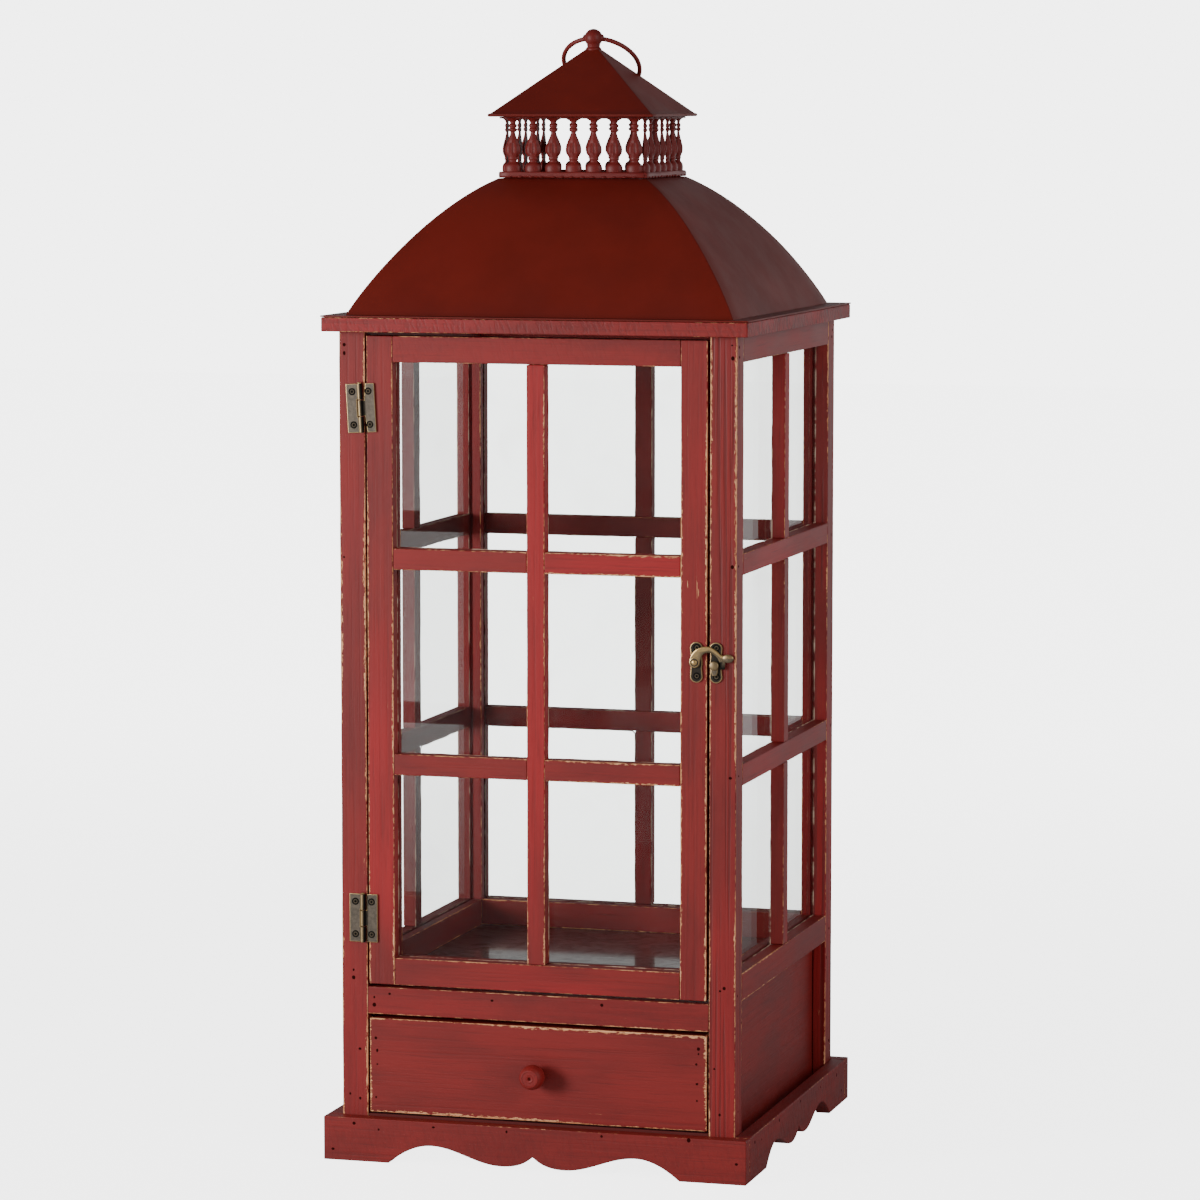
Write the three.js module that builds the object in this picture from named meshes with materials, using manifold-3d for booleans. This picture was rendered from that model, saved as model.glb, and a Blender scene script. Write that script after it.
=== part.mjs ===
// Barn lantern: a glazed wooden cabin with a hinged door and a drawer below it, under a
// sheet-metal dome that carries an open baluster gallery, a small pyramid roof, a ball
// finial and a ring handle.
// Units are millimetres. +X is right, -Y is the door side, +Z is up. The origin is the
// centre of the base at floor level.
import * as THREE from 'three';
import Module from 'manifold-3d';
import { mergeVertices } from 'three/addons/utils/BufferGeometryUtils.js';

const wasm = await Module();
wasm.setup();

// ---- Overall sizes -------------------------------------------------------------------
const bodyWidth = 290; // over the outer faces of the posts, left to right
const bodyDepth = 290; // over the outer faces of the posts, front to back
const cabinTop = 592.5; // floor to the underside of the cornice board

// ---- Clearances ----------------------------------------------------------------------
const seam = 0.3; // between pieces that are nailed, glued or screwed together
const doorHingeGap = 1.4; // between the left post and the door
const doorLatchGap = 2.1; // between the door and the right post
const doorTopGap = 3; // between the cornice board and the door
const doorBottomGap = 2.2; // between the middle rail and the door
const drawerGap = 1.6; // between a post and the drawer front
const drawerTopGap = 3.1;
const drawerBottomGap = 2.9; // between the front apron and the drawer front
const slideGap = 0.3; // under the drawer's runners
const pinSlack = 0.8; // radial, between a pin and the door's knuckle: the hinges are loose
const knuckleGap = 0.6; // between the ends of two knuckles
const stopGap = 1.3; // between the shut door and its stop
const pivotSlack = 0.2; // radial, between the hook's eye and its rivet
const hookSlack = 0.7; // between the hook and the stud's head
const ringSlack = 0.25; // between the ring's wire and its bore in the ball

// ---- Cabin frame ---------------------------------------------------------------------
const postSize = 19;
const postFoot = 3; // the posts stop short of the floor, behind the aprons
const railHeight = 19.5;
const topRailHeight = 18.6;
const glassInset = 10; // from the outer face of the wood to the glass
const glassThickness = 2;
const grooveDepth = 3;
const grooveSlack = 0.3; // each side of the glass
const muntinWidth = 13;
const muntinHeight = 15;
const cabinFloorTop = 125; // also the top of the middle rail
const cabinFloorThickness = 10;
const panelSetback = 1; // the panels stop this far short of the posts' inner faces
const bayFloorThickness = 8;
const stopWidth = 6;
const stopDepth = 5.7;

// ---- Base aprons and cornice ---------------------------------------------------------
const apronHeight = 31.5;
const apronThickness = 10.7;
const footLength = 48.5; // from the end of an apron to the start of its arch
const archPeak = 14.2;
const archPeakShare = 0.7; // of the way from the middle of the apron to its foot
const lobeShare = 0.22;
const lobeLow = 2.6;
const cuspHeight = 10.6;
const corniceThickness = 10;
const corniceOverhang = 10;
const ventHalf = 58; // half the side of the square vent in the cornice board

// ---- Door ----------------------------------------------------------------------------
const doorThickness = 18;
const stileWidth = 19;
const doorTopRail = 18.4;
const doorBottomRail = 19.3;

// ---- Hinges --------------------------------------------------------------------------
const leafWidth = 10.5; // from the pin's axis to the leaf's edge
const leafHeight = 34.6;
const leafThickness = 0.9;
const knuckleRadius = 1.9;
const pinRadius = 0.6;
const pinHead = 1.4;
const pinFromPost = 2.3; // the pin's axis stands this far over the post's edge
const hingeLift = 0.25; // the leaves stand this much further off the wood than the seam
const upperHingeDown = 51; // from the door's top edge to the middle of the hinge
const upperHingeLean = 3; // degrees: the upper hinge was screwed on crooked
const lowerHingeUp = 47.4; // from the door's bottom edge
const hingeRound = 20;

// ---- Hook latch ----------------------------------------------------------------------
const latchAboveMiddle = 7.65; // the latch sits this far over the door's middle
const latchPlateWidth = 9.2;
const latchPlateHeight = 28.5;
const latchPlateThickness = 1;
const rivetFromEdge = 8.2; // from the door's free edge to the rivet
const rivetRadius = 1.1;
const rivetHead = 2.1;
const rivetHeadThickness = 1;
const eyeRadius = 4;
const hookThickness = 1.4;
const hookWidth = 3.3;
const studAcross = 14.2; // from the rivet to the stud
const studDrop = 1.9; // the stud sits this far below the rivet
const studRadius = 3.3;
const studHeight = 3.4;
const tabReach = 12.3; // from the stud to the end of the hook's thumb tab

// ---- Drawer --------------------------------------------------------------------------
const drawerFrontThickness = 18;
const drawerSideThickness = 8;
const drawerSideHeight = 58;
const drawerSideSetback = 2.3; // from the end of the drawer front to the side's face
const drawerBackThickness = 8;
const drawerBottomThickness = 4;
const drawerBottomLift = 4;
const drawerBackGap = 0.8; // between the drawer and the back panel
const knobRadius = 8.8;
const knobLength = 19.2;
const knobNeck = 4.6;
const knobFace = 5.6;

// ---- Dome, gallery and upper roof ----------------------------------------------------
const sheet = 1;
const flangeLip = 0.4; // the flange stands out over the cornice board by this much
const flangeWidth = 14.4; // from the flange's edge in to the foot of the dome
const domeTop = 55; // half the side of the dome at the gallery
const domeRise = 95;
const mouthLip = 10; // from the dome's top edge in to the opening at its top
const galleryHeight = 43.3;
const gallerySetback = 0.6; // from the dome's top edge in to the gallery
const galleryThickness = 2.4;
const balusterCount = 7;
const galleryEnd = 1.55; // of plain strip past the outermost balusters' share
const eaveOverhang = 6.8;
const roofRise = 52;
const roofFlatHalf = 4.6; // the pyramid is cut off flat under the finial
const soffitLip = 5.4; // from the gallery's face in to the opening in the roof's soffit
const ballRadius = 7.1;
const neckHeight = 0.5; // between the roof's flat top and the ball
const collarRadius = 5.3;
const wireRadius = 1.45;
const ringRadius = 28;

// ---- Places that follow from the sizes -----------------------------------------------
const halfW = bodyWidth / 2;
const halfD = bodyDepth / 2;
const innerW = halfW - postSize;
const innerD = halfD - postSize;
const frontY = -halfD;
const grooveFrom = glassInset - grooveSlack;
const grooveTo = glassInset + glassThickness + grooveSlack;

const doorLeft = -innerW + doorHingeGap;
const doorRight = innerW - doorLatchGap;
const doorLow = cabinFloorTop + doorBottomGap;
const doorHigh = cabinTop - doorTopGap;
const sashLow = doorLow + doorBottomRail;
const sashHigh = doorHigh - doorTopRail;
const paneHeight = (sashHigh - sashLow - 2 * muntinHeight) / 3;
const muntinLevels = [1, 2].map(
  (i) => sashLow + i * paneHeight + (i - 0.5) * muntinHeight);

const wallLow = cabinFloorTop + railHeight;
const wallHigh = cabinTop - topRailHeight;

const middleRailLow = cabinFloorTop - railHeight;
const drawerLow = apronHeight + drawerBottomGap;
const drawerHigh = middleRailLow - drawerTopGap;
const drawerHalf = innerW - drawerGap;
const bayFloorTop = apronHeight + 1.5;

const panelThickness = postSize - glassInset - panelSetback;
const upperHingeZ = doorHigh - upperHingeDown;
const lowerHingeZ = doorLow + lowerHingeUp;
const latchZ = (doorLow + doorHigh) / 2 + latchAboveMiddle;

const corniceTop = cabinTop + corniceThickness;
const flangeLow = corniceTop + seam;
const domeHigh = flangeLow + sheet + domeRise;
const flangeHalf = [halfW, halfD].map((half) => half + corniceOverhang + flangeLip);
const galleryHalf = domeTop - gallerySetback;
const balusterPitch = (2 * galleryHalf - 2 * galleryEnd) / balusterCount;
const eaveHalf = galleryHalf + eaveOverhang;
const soffitHalf = galleryHalf - soffitLip;
const galleryLow = domeHigh + seam;
const eaveZ = galleryLow + galleryHeight + seam;
const roofFlatZ = eaveZ + roofRise * (1 - roofFlatHalf / eaveHalf);
const finialLow = roofFlatZ + seam;
const ballZ = roofFlatZ + ballRadius + neckHeight;

// ---- Materials -----------------------------------------------------------------------
const finish = (color, roughness, metalness = 0, extra = {}) => () =>
  new THREE.MeshStandardMaterial({ color, roughness, metalness, ...extra });
const redPaint = finish(0x94352f, 0.62);
const darkRed = finish(0x5c1f1b, 0.6);
const bareWood = finish(0xa98560, 0.8);
const domePaint = finish(0x551710, 0.45, 0.1);
const brass = finish(0x8a7a52, 0.45, 0.9);
const glassPane = finish(0xdfe8e6, 0.05, 0, { transparent: true, opacity: 0.3 });

const lantern = new THREE.Group();

function piece(name, geometry, material, parent = lantern) {
  const mesh = new THREE.Mesh(geometry, material());
  mesh.name = name;
  parent.add(mesh);
  return mesh;
}

// A board between two opposite corners.
function board(name, low, high, material, parent = lantern) {
  const size = high.map((h, i) => h - low[i]);
  const mesh = piece(name, new THREE.BoxGeometry(...size), material, parent);
  mesh.position.set(...high.map((h, i) => (h + low[i]) / 2));
  return mesh;
}

const outline = (points) => new THREE.Shape(points.map((p) => new THREE.Vector2(...p)));

function extrude(shape, depth, curveSegments = 6) {
  return new THREE.ExtrudeGeometry(shape, { depth, bevelEnabled: false, curveSegments });
}

// A section drawn in (depth from the outer face, height), run along a wall from x0 to x1.
function runAlong(section, x0, x1) {
  const geometry = extrude(outline(section), x1 - x0, 1);
  // The section's first axis becomes +Y, its second +Z, and the run +X.
  const turn = new THREE.Matrix4().makeBasis(
    new THREE.Vector3(0, 1, 0), new THREE.Vector3(0, 0, 1), new THREE.Vector3(1, 0, 0));
  return geometry.applyMatrix4(turn).translate(x0, 0, 0);
}

// A shape drawn as seen from the front, standing at y and as thick as depth.
function standUp(shape, y, depth, curveSegments = 6) {
  return extrude(shape, depth, curveSegments).rotateX(Math.PI / 2).translate(0, y + depth, 0);
}

// A profile of (radius, height) turned about Z; sides 4 gives a square of that half side.
function turned(profile, segments) {
  const points = profile.map(([r, z]) => new THREE.Vector2(r, z));
  return new THREE.LatheGeometry(points, segments).rotateX(Math.PI / 2);
}

function squareTurned(profile) {
  const corners = profile.map(([half, z]) => [half * Math.SQRT2, z]);
  return turned(corners, 4).rotateZ(Math.PI / 4);
}

// ---- Booleans ------------------------------------------------------------------------
function solid(geometry) {
  const bare = geometry.clone();
  bare.deleteAttribute('normal');
  bare.deleteAttribute('uv');
  const merged = mergeVertices(bare, 1e-4);
  return new wasm.Manifold(new wasm.Mesh({
    numProp: 3,
    vertProperties: new Float32Array(merged.attributes.position.array),
    triVerts: new Uint32Array(merged.index.array),
  }));
}

function geometryOf(body) {
  const mesh = body.getMesh();
  const geometry = new THREE.BufferGeometry();
  geometry.setAttribute('position', new THREE.BufferAttribute(mesh.vertProperties, 3));
  geometry.setIndex(new THREE.BufferAttribute(mesh.triVerts, 1));
  geometry.computeVertexNormals();
  return geometry;
}

const joined = (...parts) => geometryOf(
  parts.slice(1).reduce((body, part) => body.add(solid(part)), solid(parts[0])));
const cutAway = (base, ...tools) => geometryOf(
  tools.reduce((body, tool) => body.subtract(solid(tool)), solid(base)));

// ---- Posts: square, grooved for the glass of the walls they meet ---------------------
function postSection(sideX, sideY) {
  const groove = postSize - grooveDepth;
  const backGroove = [[postSize, grooveFrom], [groove, grooveFrom],
    [groove, grooveTo], [postSize, grooveTo]];
  const section = [
    [0, 0], [postSize, 0], ...(sideY > 0 ? backGroove : []), [postSize, postSize],
    [grooveTo, postSize], [grooveTo, groove], [grooveFrom, groove],
    [grooveFrom, postSize], [0, postSize],
  ];
  return outline(section.map(([a, b]) => [sideX * (halfW - a), sideY * (halfD - b)]));
}

for (const [sideY, end] of [[-1, 'front'], [1, 'back']]) {
  for (const [sideX, side] of [[-1, 'left'], [1, 'right']]) {
    const height = cabinTop - seam - postFoot;
    piece(`${end}_${side}_post`, extrude(postSection(sideX, sideY), height), redPaint)
      .position.z = postFoot;
  }
}

// ---- Glazed walls --------------------------------------------------------------------
// The muntin grid: two level bars across one upright, as one flat lattice.
function latticeShape(halfWidth, low, high) {
  const bar = muntinWidth / 2;
  const rise = muntinHeight / 2;
  const side = muntinLevels.flatMap((z) => [
    [bar, z - rise], [halfWidth, z - rise], [halfWidth, z + rise], [bar, z + rise]]);
  const right = [[bar, low], ...side, [bar, high]];
  const left = right.map(([x, z]) => [-x, z]).reverse();
  return outline([...right, ...left]);
}

// A wall is made standing on the X axis with its outer face at y = 0, then turned.
function wall(side, clearSpan, turn, x, y) {
  const group = new THREE.Group();
  group.rotation.z = turn;
  group.position.set(x, y, 0);
  lantern.add(group);

  const half = clearSpan / 2 - seam;
  const grooveFloor = railHeight - grooveDepth;
  const lowSection = [[0, 0], [postSize, 0], [postSize, railHeight], [grooveTo, railHeight],
    [grooveTo, grooveFloor], [grooveFrom, grooveFloor], [grooveFrom, railHeight],
    [0, railHeight]];
  piece(`${side}_bottom_rail`, runAlong(lowSection, -half, half), redPaint, group)
    .position.z = cabinFloorTop;

  const highSection = [[0, 0], [grooveFrom, 0], [grooveFrom, grooveDepth],
    [grooveTo, grooveDepth], [grooveTo, 0], [postSize, 0],
    [postSize, topRailHeight - seam], [0, topRailHeight - seam]];
  piece(`${side}_top_rail`, runAlong(highSection, -half, half), redPaint, group)
    .position.z = wallHigh;

  const lattice = latticeShape(half, wallLow + seam, wallHigh - seam);
  piece(`${side}_muntins`, standUp(lattice, 0, grooveFrom), redPaint, group);

  const glassHalf = clearSpan / 2 + grooveDepth - grooveSlack;
  board(`${side}_glass`,
    [-glassHalf, glassInset, wallLow - grooveDepth + grooveSlack],
    [glassHalf, glassInset + glassThickness, wallHigh + grooveDepth - grooveSlack],
    glassPane, group);

  board(`${side}_lower_panel`,
    [-half, glassInset, postFoot],
    [half, glassInset + panelThickness, cabinFloorTop - seam], darkRed, group);
}

wall('left', 2 * innerD, -Math.PI / 2, -halfW, 0);
wall('right', 2 * innerD, Math.PI / 2, halfW, 0);
wall('back', 2 * innerW, Math.PI, 0, halfD);

// ---- Front rail, floors and door stop ------------------------------------------------
board('middle_rail', [-innerW + seam, frontY, middleRailLow],
  [innerW - seam, frontY + postSize, cabinFloorTop], redPaint);
board('cabin_floor', [-innerW + seam, -innerD + seam, cabinFloorTop - cabinFloorThickness],
  [innerW - seam, innerD - seam, cabinFloorTop], darkRed);
board('drawer_bay_floor',
  [-innerW + seam, frontY + seam, bayFloorTop - bayFloorThickness],
  [innerW - seam, halfD - glassInset - panelThickness - seam, bayFloorTop], bareWood);
const stopFront = frontY + doorThickness + stopGap;
board('door_stop', [innerW - stopWidth, stopFront, sashLow],
  [innerW - seam, stopFront + stopDepth, sashHigh], darkRed);

// ---- Base aprons ---------------------------------------------------------------------
// Two feet with a pair of flat arches between them that meet in a small cusp.
function apronShape(halfLength) {
  const footEnd = halfLength - footLength;
  const at = (share) => share * footEnd;
  const shape = new THREE.Shape();
  shape.moveTo(0, cuspHeight);
  shape.bezierCurveTo(at(0.04), 7, at(0.09), lobeLow, at(lobeShare), lobeLow);
  shape.bezierCurveTo(at(lobeShare + 0.17), lobeLow, at(archPeakShare - 0.17), archPeak,
    at(archPeakShare), archPeak);
  shape.bezierCurveTo(at(archPeakShare + 0.11), archPeak, at(0.91), 8, footEnd, 0);
  shape.lineTo(halfLength, 0);
  shape.lineTo(halfLength, apronHeight);
  const right = shape.getPoints(5).map((p) => [p.x, p.y]);
  const left = right.slice(1).map(([x, z]) => [-x, z]).reverse();
  return outline([...right, ...left]);
}

function apron(name, halfLength, turn, x, y) {
  const mesh = piece(name, standUp(apronShape(halfLength), 0, apronThickness), redPaint);
  mesh.rotation.z = turn;
  mesh.position.set(x, y, 0);
}

const apronOut = seam + apronThickness; // from the posts' faces to the aprons' faces
apron('front_apron', halfW + apronOut, 0, 0, frontY - apronOut);
apron('back_apron', halfW + apronOut, Math.PI, 0, halfD + apronOut);
apron('left_apron', halfD, -Math.PI / 2, -halfW - apronOut, 0);
apron('right_apron', halfD, Math.PI / 2, halfW + apronOut, 0);

// ---- Cornice board with its vent -----------------------------------------------------
const squareOutline = (w, d) => [[-w, -d], [w, -d], [w, d], [-w, d]];
const corniceShape = outline(squareOutline(halfW + corniceOverhang, halfD + corniceOverhang));
corniceShape.holes.push(outline(squareOutline(ventHalf, ventHalf)));
piece('cornice_board', extrude(corniceShape, corniceThickness), redPaint)
  .position.z = cabinTop;

// ---- Dome ----------------------------------------------------------------------------
// Level rectangles stacked along a closed outline of [half width, half depth, height],
// which runs up the outside.
function stacked(rings) {
  const corners = [[-1, -1], [1, -1], [1, 1], [-1, 1]];
  const places = rings.flatMap(([x, y, z]) => corners.flatMap(([i, j]) => [i * x, j * y, z]));
  const faces = rings.flatMap((_, ring) => corners.flatMap((__, corner) => {
    const [next, above] = [(corner + 1) % 4, (ring + 1) % rings.length];
    const [a, b, c, d] = [[ring, corner], [ring, next], [above, next], [above, corner]]
      .map(([r, k]) => 4 * r + k);
    return [a, b, c, a, c, d];
  }));
  const geometry = new THREE.BufferGeometry();
  geometry.setAttribute('position', new THREE.Float32BufferAttribute(places, 3));
  geometry.setIndex(faces);
  geometry.computeVertexNormals();
  return geometry;
}

// The dome's bow: 1 at its foot and 0 at its top, against the share of its rise.
const domeBow = new THREE.CubicBezierCurve(
  new THREE.Vector2(1, 0), new THREE.Vector2(0.866, 0.25),
  new THREE.Vector2(0.4535, 0.79), new THREE.Vector2(0, 1));

// The corner of the dome's plan at a share t of its bow, set in from its outside.
function domeRing(t, inset) {
  const bow = domeBow.getPoint(t);
  const along = domeBow.getTangent(t);
  const halves = flangeHalf.map((edge) => domeTop + bow.x * (edge - flangeWidth - domeTop));
  const spread = Math.min(...flangeHalf) - flangeWidth - domeTop;
  const slope = new THREE.Vector2(along.x * spread, along.y * domeRise).normalize();
  return [...halves.map((half) => half - slope.y * inset),
    bow.y * domeRise + slope.x * inset + flangeLow + sheet];
}

const domeSteps = 9;
const domeShare = [...Array(domeSteps + 1).keys()].map((i) => i / domeSteps);
const domeOutside = domeShare.map((t) => domeRing(t, 0));
const domeInside = domeShare.map((t) => domeRing(t, sheet)).reverse();
domeInside[0][2] = domeHigh - sheet;
domeInside[domeSteps][2] = flangeLow;
const domeMouth = domeTop - mouthLip;
piece('dome', stacked([
  ...domeOutside, [domeMouth, domeMouth, domeHigh], [domeMouth, domeMouth, domeHigh - sheet],
  ...domeInside, [...flangeHalf, flangeLow], [...flangeHalf, flangeLow + sheet],
]), domePaint);

// ---- Gallery: four pierced strips of half-round balusters ----------------------------
// Half the width of one baluster at a height above the strip's foot band.
const balusterOutline = [
  [0, 5.6], [0.1, 5.6], [0.16, 3.4], [0.25, 2.9], [0.32, 4.6], [0.46, 5.9], [0.58, 4.9],
  [0.72, 2.3], [0.8, 2.9], [0.86, 2.2], [0.93, 2.7], [1, 5.4],
];
const footBand = 3.6;
const topBand = 2;
const pierceHeight = galleryHeight - footBand - topBand;

function galleryShape(halfLength) {
  const strip = outline([[-halfLength, 0], [halfLength, 0],
    [halfLength, galleryHeight], [-halfLength, galleryHeight]]);
  for (let gap = 1; gap < balusterCount; gap += 1) {
    const middle = (gap - balusterCount / 2) * balusterPitch;
    const edge = balusterOutline.map(
      ([share, half]) => [balusterPitch / 2 - half, footBand + share * pierceHeight]);
    strip.holes.push(outline([
      ...edge.map(([x, z]) => [middle + x, z]),
      ...edge.map(([x, z]) => [middle - x, z]).reverse()]));
  }
  return strip;
}

function galleryStrip(side, halfLength, turn, x, y) {
  const mesh = piece(`${side}_gallery`,
    standUp(galleryShape(halfLength), 0, galleryThickness), domePaint);
  mesh.rotation.z = turn;
  mesh.position.set(x, y, galleryLow);
}

const sideStrip = galleryHalf - galleryThickness - seam;
galleryStrip('front', galleryHalf, 0, 0, -galleryHalf);
galleryStrip('back', galleryHalf, Math.PI, 0, galleryHalf);
galleryStrip('left', sideStrip, -Math.PI / 2, -galleryHalf, 0);
galleryStrip('right', sideStrip, Math.PI / 2, galleryHalf, 0);

// ---- Upper roof: a hollow pyramid of sheet with an inward soffit lip -----------------
const roofSlope = Math.atan2(roofFlatZ - eaveZ - sheet, eaveHalf - roofFlatHalf);
const underside = sheet / Math.cos(roofSlope); // the sheet's thickness measured upright
const insideFoot = eaveHalf - underside / Math.tan(roofSlope);
piece('upper_roof', squareTurned([
  [0, roofFlatZ - underside], [roofFlatHalf, roofFlatZ - underside],
  [insideFoot, eaveZ + sheet], [soffitHalf, eaveZ + sheet], [soffitHalf, eaveZ],
  [eaveHalf, eaveZ], [eaveHalf, eaveZ + sheet], [roofFlatHalf, roofFlatZ], [0, roofFlatZ],
]), domePaint);

// ---- Finial: a collar and a ball, bored across for the ring --------------------------
const ballSteps = 9;
const neckAngle = -Math.acos((collarRadius - 0.5) / ballRadius);
const ballProfile = [...Array(ballSteps + 1).keys()].map((i) => {
  const angle = neckAngle + (Math.PI / 2 - neckAngle) * (i / ballSteps);
  const radius = i === ballSteps ? 0 : ballRadius * Math.cos(angle);
  return [radius, ballZ + ballRadius * Math.sin(angle)];
});
const finialBody = turned([[0, finialLow], [collarRadius, finialLow],
  [collarRadius, finialLow + 0.8], ...ballProfile], 20);
// The wire curves inside the ball, so the straight bore is wider than the wire.
const wireBow = ballRadius ** 2 / (2 * ringRadius);
const boreRadius = wireRadius + wireBow + ringSlack;
const crossBore = new THREE.CylinderGeometry(boreRadius, boreRadius, 3 * ballRadius, 14)
  .rotateZ(Math.PI / 2).translate(0, 0, ballZ);
piece('finial', cutAway(finialBody, crossBore), domePaint);

// ---- Ring handle: hangs from the ball and lies on the back slope ---------------------
const ballOverSlope = (ballZ - roofFlatZ) * Math.cos(roofSlope)
  - roofFlatHalf * Math.sin(roofSlope);
const ringTilt = roofSlope
  + Math.asin((ballOverSlope - wireRadius - seam) / (2 * ringRadius));
const ring = piece('ring_handle', new THREE.TorusGeometry(ringRadius, wireRadius, 8, 36),
  domePaint);
ring.rotation.x = -ringTilt;
ring.position.set(0, ringRadius * Math.cos(ringTilt), ballZ - ringRadius * Math.sin(ringTilt));

// ---- Door ----------------------------------------------------------------------------
const doorMiddle = (doorLeft + doorRight) / 2;
const railHalf = (doorRight - doorLeft) / 2 - stileWidth - seam;

// The stile's section in (depth from the door's face, distance in from the free side).
function stile(name, outerX, inward) {
  const groove = stileWidth - grooveDepth;
  const section = [[0, 0], [0, stileWidth], [grooveFrom, stileWidth], [grooveFrom, groove],
    [grooveTo, groove], [grooveTo, stileWidth], [doorThickness, stileWidth],
    [doorThickness, 0]];
  const shape = outline(section.map(([d, w]) => [outerX + inward * w, frontY + d]));
  piece(name, extrude(shape, doorHigh - doorLow), redPaint).position.z = doorLow;
}
stile('door_left_stile', doorLeft, 1);
stile('door_right_stile', doorRight, -1);

const doorGroup = new THREE.Group();
doorGroup.position.set(doorMiddle, frontY, 0);
lantern.add(doorGroup);
const doorGrooveFloor = doorBottomRail - grooveDepth;
piece('door_bottom_rail', runAlong([[0, 0], [doorThickness, 0],
  [doorThickness, doorBottomRail], [grooveTo, doorBottomRail], [grooveTo, doorGrooveFloor],
  [grooveFrom, doorGrooveFloor], [grooveFrom, doorBottomRail], [0, doorBottomRail]],
-railHalf, railHalf), redPaint, doorGroup).position.z = doorLow;
piece('door_top_rail', runAlong([[0, 0], [grooveFrom, 0], [grooveFrom, grooveDepth],
  [grooveTo, grooveDepth], [grooveTo, 0], [doorThickness, 0], [doorThickness, doorTopRail],
  [0, doorTopRail]], -railHalf, railHalf), redPaint, doorGroup).position.z = sashHigh;
piece('door_muntins', standUp(latticeShape(railHalf, sashLow + seam, sashHigh - seam),
  0, grooveFrom), redPaint, doorGroup);
const doorGlassHalf = railHalf + seam + grooveDepth - grooveSlack;
board('door_glass',
  [-doorGlassHalf, glassInset, sashLow - grooveDepth + grooveSlack],
  [doorGlassHalf, glassInset + glassThickness, sashHigh + grooveDepth - grooveSlack],
  glassPane, doorGroup);

// ---- Hinges: a leaf on the post, a leaf on the door and a pin ------------------------
const pinX = -innerW - pinFromPost;
const pinY = frontY - seam - hingeLift - knuckleRadius;
const knuckleLength = (leafHeight - 2 * knuckleGap) / 3;

function knuckle(low, high, boreRadiusHere) {
  const wallRing = new THREE.Shape().absarc(0, 0, knuckleRadius, 0, 2 * Math.PI);
  wallRing.holes.push(new THREE.Path().absarc(0, 0, boreRadiusHere, 0, 2 * Math.PI));
  return extrude(wallRing, high - low, hingeRound).translate(0, 0, low);
}

// The plate lies against the wood and reaches into the knuckle's wall.
function leafPlate(side, low, high) {
  const near = pinRadius + pinSlack + 0.2;
  const plate = new THREE.BoxGeometry(leafWidth - near, leafThickness, high - low);
  return plate.translate(side * (near + leafWidth) / 2,
    knuckleRadius - leafThickness / 2, (low + high) / 2);
}

function hinge(level, z, lean) {
  const half = leafHeight / 2;
  const mid = knuckleLength / 2;
  const tight = pinRadius + 0.02;
  const parts = [
    [`${level}_hinge_post_leaf`, joined(
      leafPlateClear(-1, -half, half, mid + knuckleGap),
      knuckle(-half, -mid - knuckleGap, tight), knuckle(mid + knuckleGap, half, tight))],
    [`${level}_hinge_door_leaf`, joined(
      leafPlateTongue(1, half, mid), knuckle(-mid, mid, pinRadius + pinSlack))],
    [`${level}_hinge_pin`, turned([[0, -half - 0.3], [pinRadius, -half - 0.3],
      [pinRadius, half + 0.2], [pinHead, half + 0.2], [pinHead, half + 1],
      [0, half + 1.2]], hingeRound)],
  ];
  for (const [name, geometry] of parts) {
    const mesh = piece(name, geometry, brass);
    mesh.position.set(pinX, pinY, z);
    mesh.rotation.y = -THREE.MathUtils.degToRad(lean);
  }
}

const knuckleClear = knuckleRadius + pinSlack + knuckleGap;

// The post's leaf is notched where the door's knuckle turns.
function leafPlateClear(side, low, high, notch) {
  const clear = new THREE.BoxGeometry(2 * knuckleClear, 4 * knuckleRadius, 2 * notch);
  return cutAway(leafPlate(side, low, high), clear);
}

// The door's leaf is narrow at the pin, where it passes between the post's knuckles.
function leafPlateTongue(side, half, tongue) {
  const length = half - tongue + knuckleGap;
  const clears = [-1, 1].map((end) => new THREE.BoxGeometry(
    2 * knuckleClear, 4 * knuckleRadius, length).translate(0, 0, end * (tongue + length / 2)));
  return cutAway(leafPlate(side, -half, half), ...clears);
}

hinge('upper', upperHingeZ, upperHingeLean);
hinge('lower', lowerHingeZ, 0);

// ---- Hook latch ----------------------------------------------------------------------
const rivetX = doorRight - rivetFromEdge;
const studX = rivetX + studAcross;
const studZ = latchZ - studDrop;
const plateFace = frontY - seam - latchPlateThickness;
const hookBack = plateFace - seam;
const hookFront = hookBack - hookThickness;

function roundEndedPlate(width, height) {
  const radius = width / 2;
  const straight = height / 2 - radius;
  return new THREE.Shape()
    .absarc(0, straight, radius, 0, Math.PI)
    .absarc(0, -straight, radius, Math.PI, 2 * Math.PI);
}

// A disc whose axis runs front to back, between two depths.
function disc(radius, nearY, farY, x, z, segments = 20) {
  return new THREE.CylinderGeometry(radius, radius, farY - nearY, segments)
    .translate(0, (nearY + farY) / 2, 0).translate(x, 0, z);
}

const latchPlate = standUp(roundEndedPlate(latchPlateWidth, latchPlateHeight), plateFace,
  latchPlateThickness).translate(rivetX + 1, 0, latchZ);
const rivetEnd = hookFront - seam - rivetHeadThickness;
piece('latch_plate', joined(latchPlate,
  disc(rivetRadius, rivetEnd + 0.2, plateFace + 0.5, rivetX, latchZ, 16),
  disc(rivetHead, rivetEnd, rivetEnd + rivetHeadThickness, rivetX, latchZ)), brass);

const keeperPlate = standUp(roundEndedPlate(latchPlateWidth, latchPlateHeight), plateFace,
  latchPlateThickness).translate(studX + 0.9, 0, latchZ);
piece('keeper_plate', joined(keeperPlate,
  disc(studRadius, plateFace - studHeight, plateFace + 0.5, studX, studZ, 24)), brass);

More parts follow.
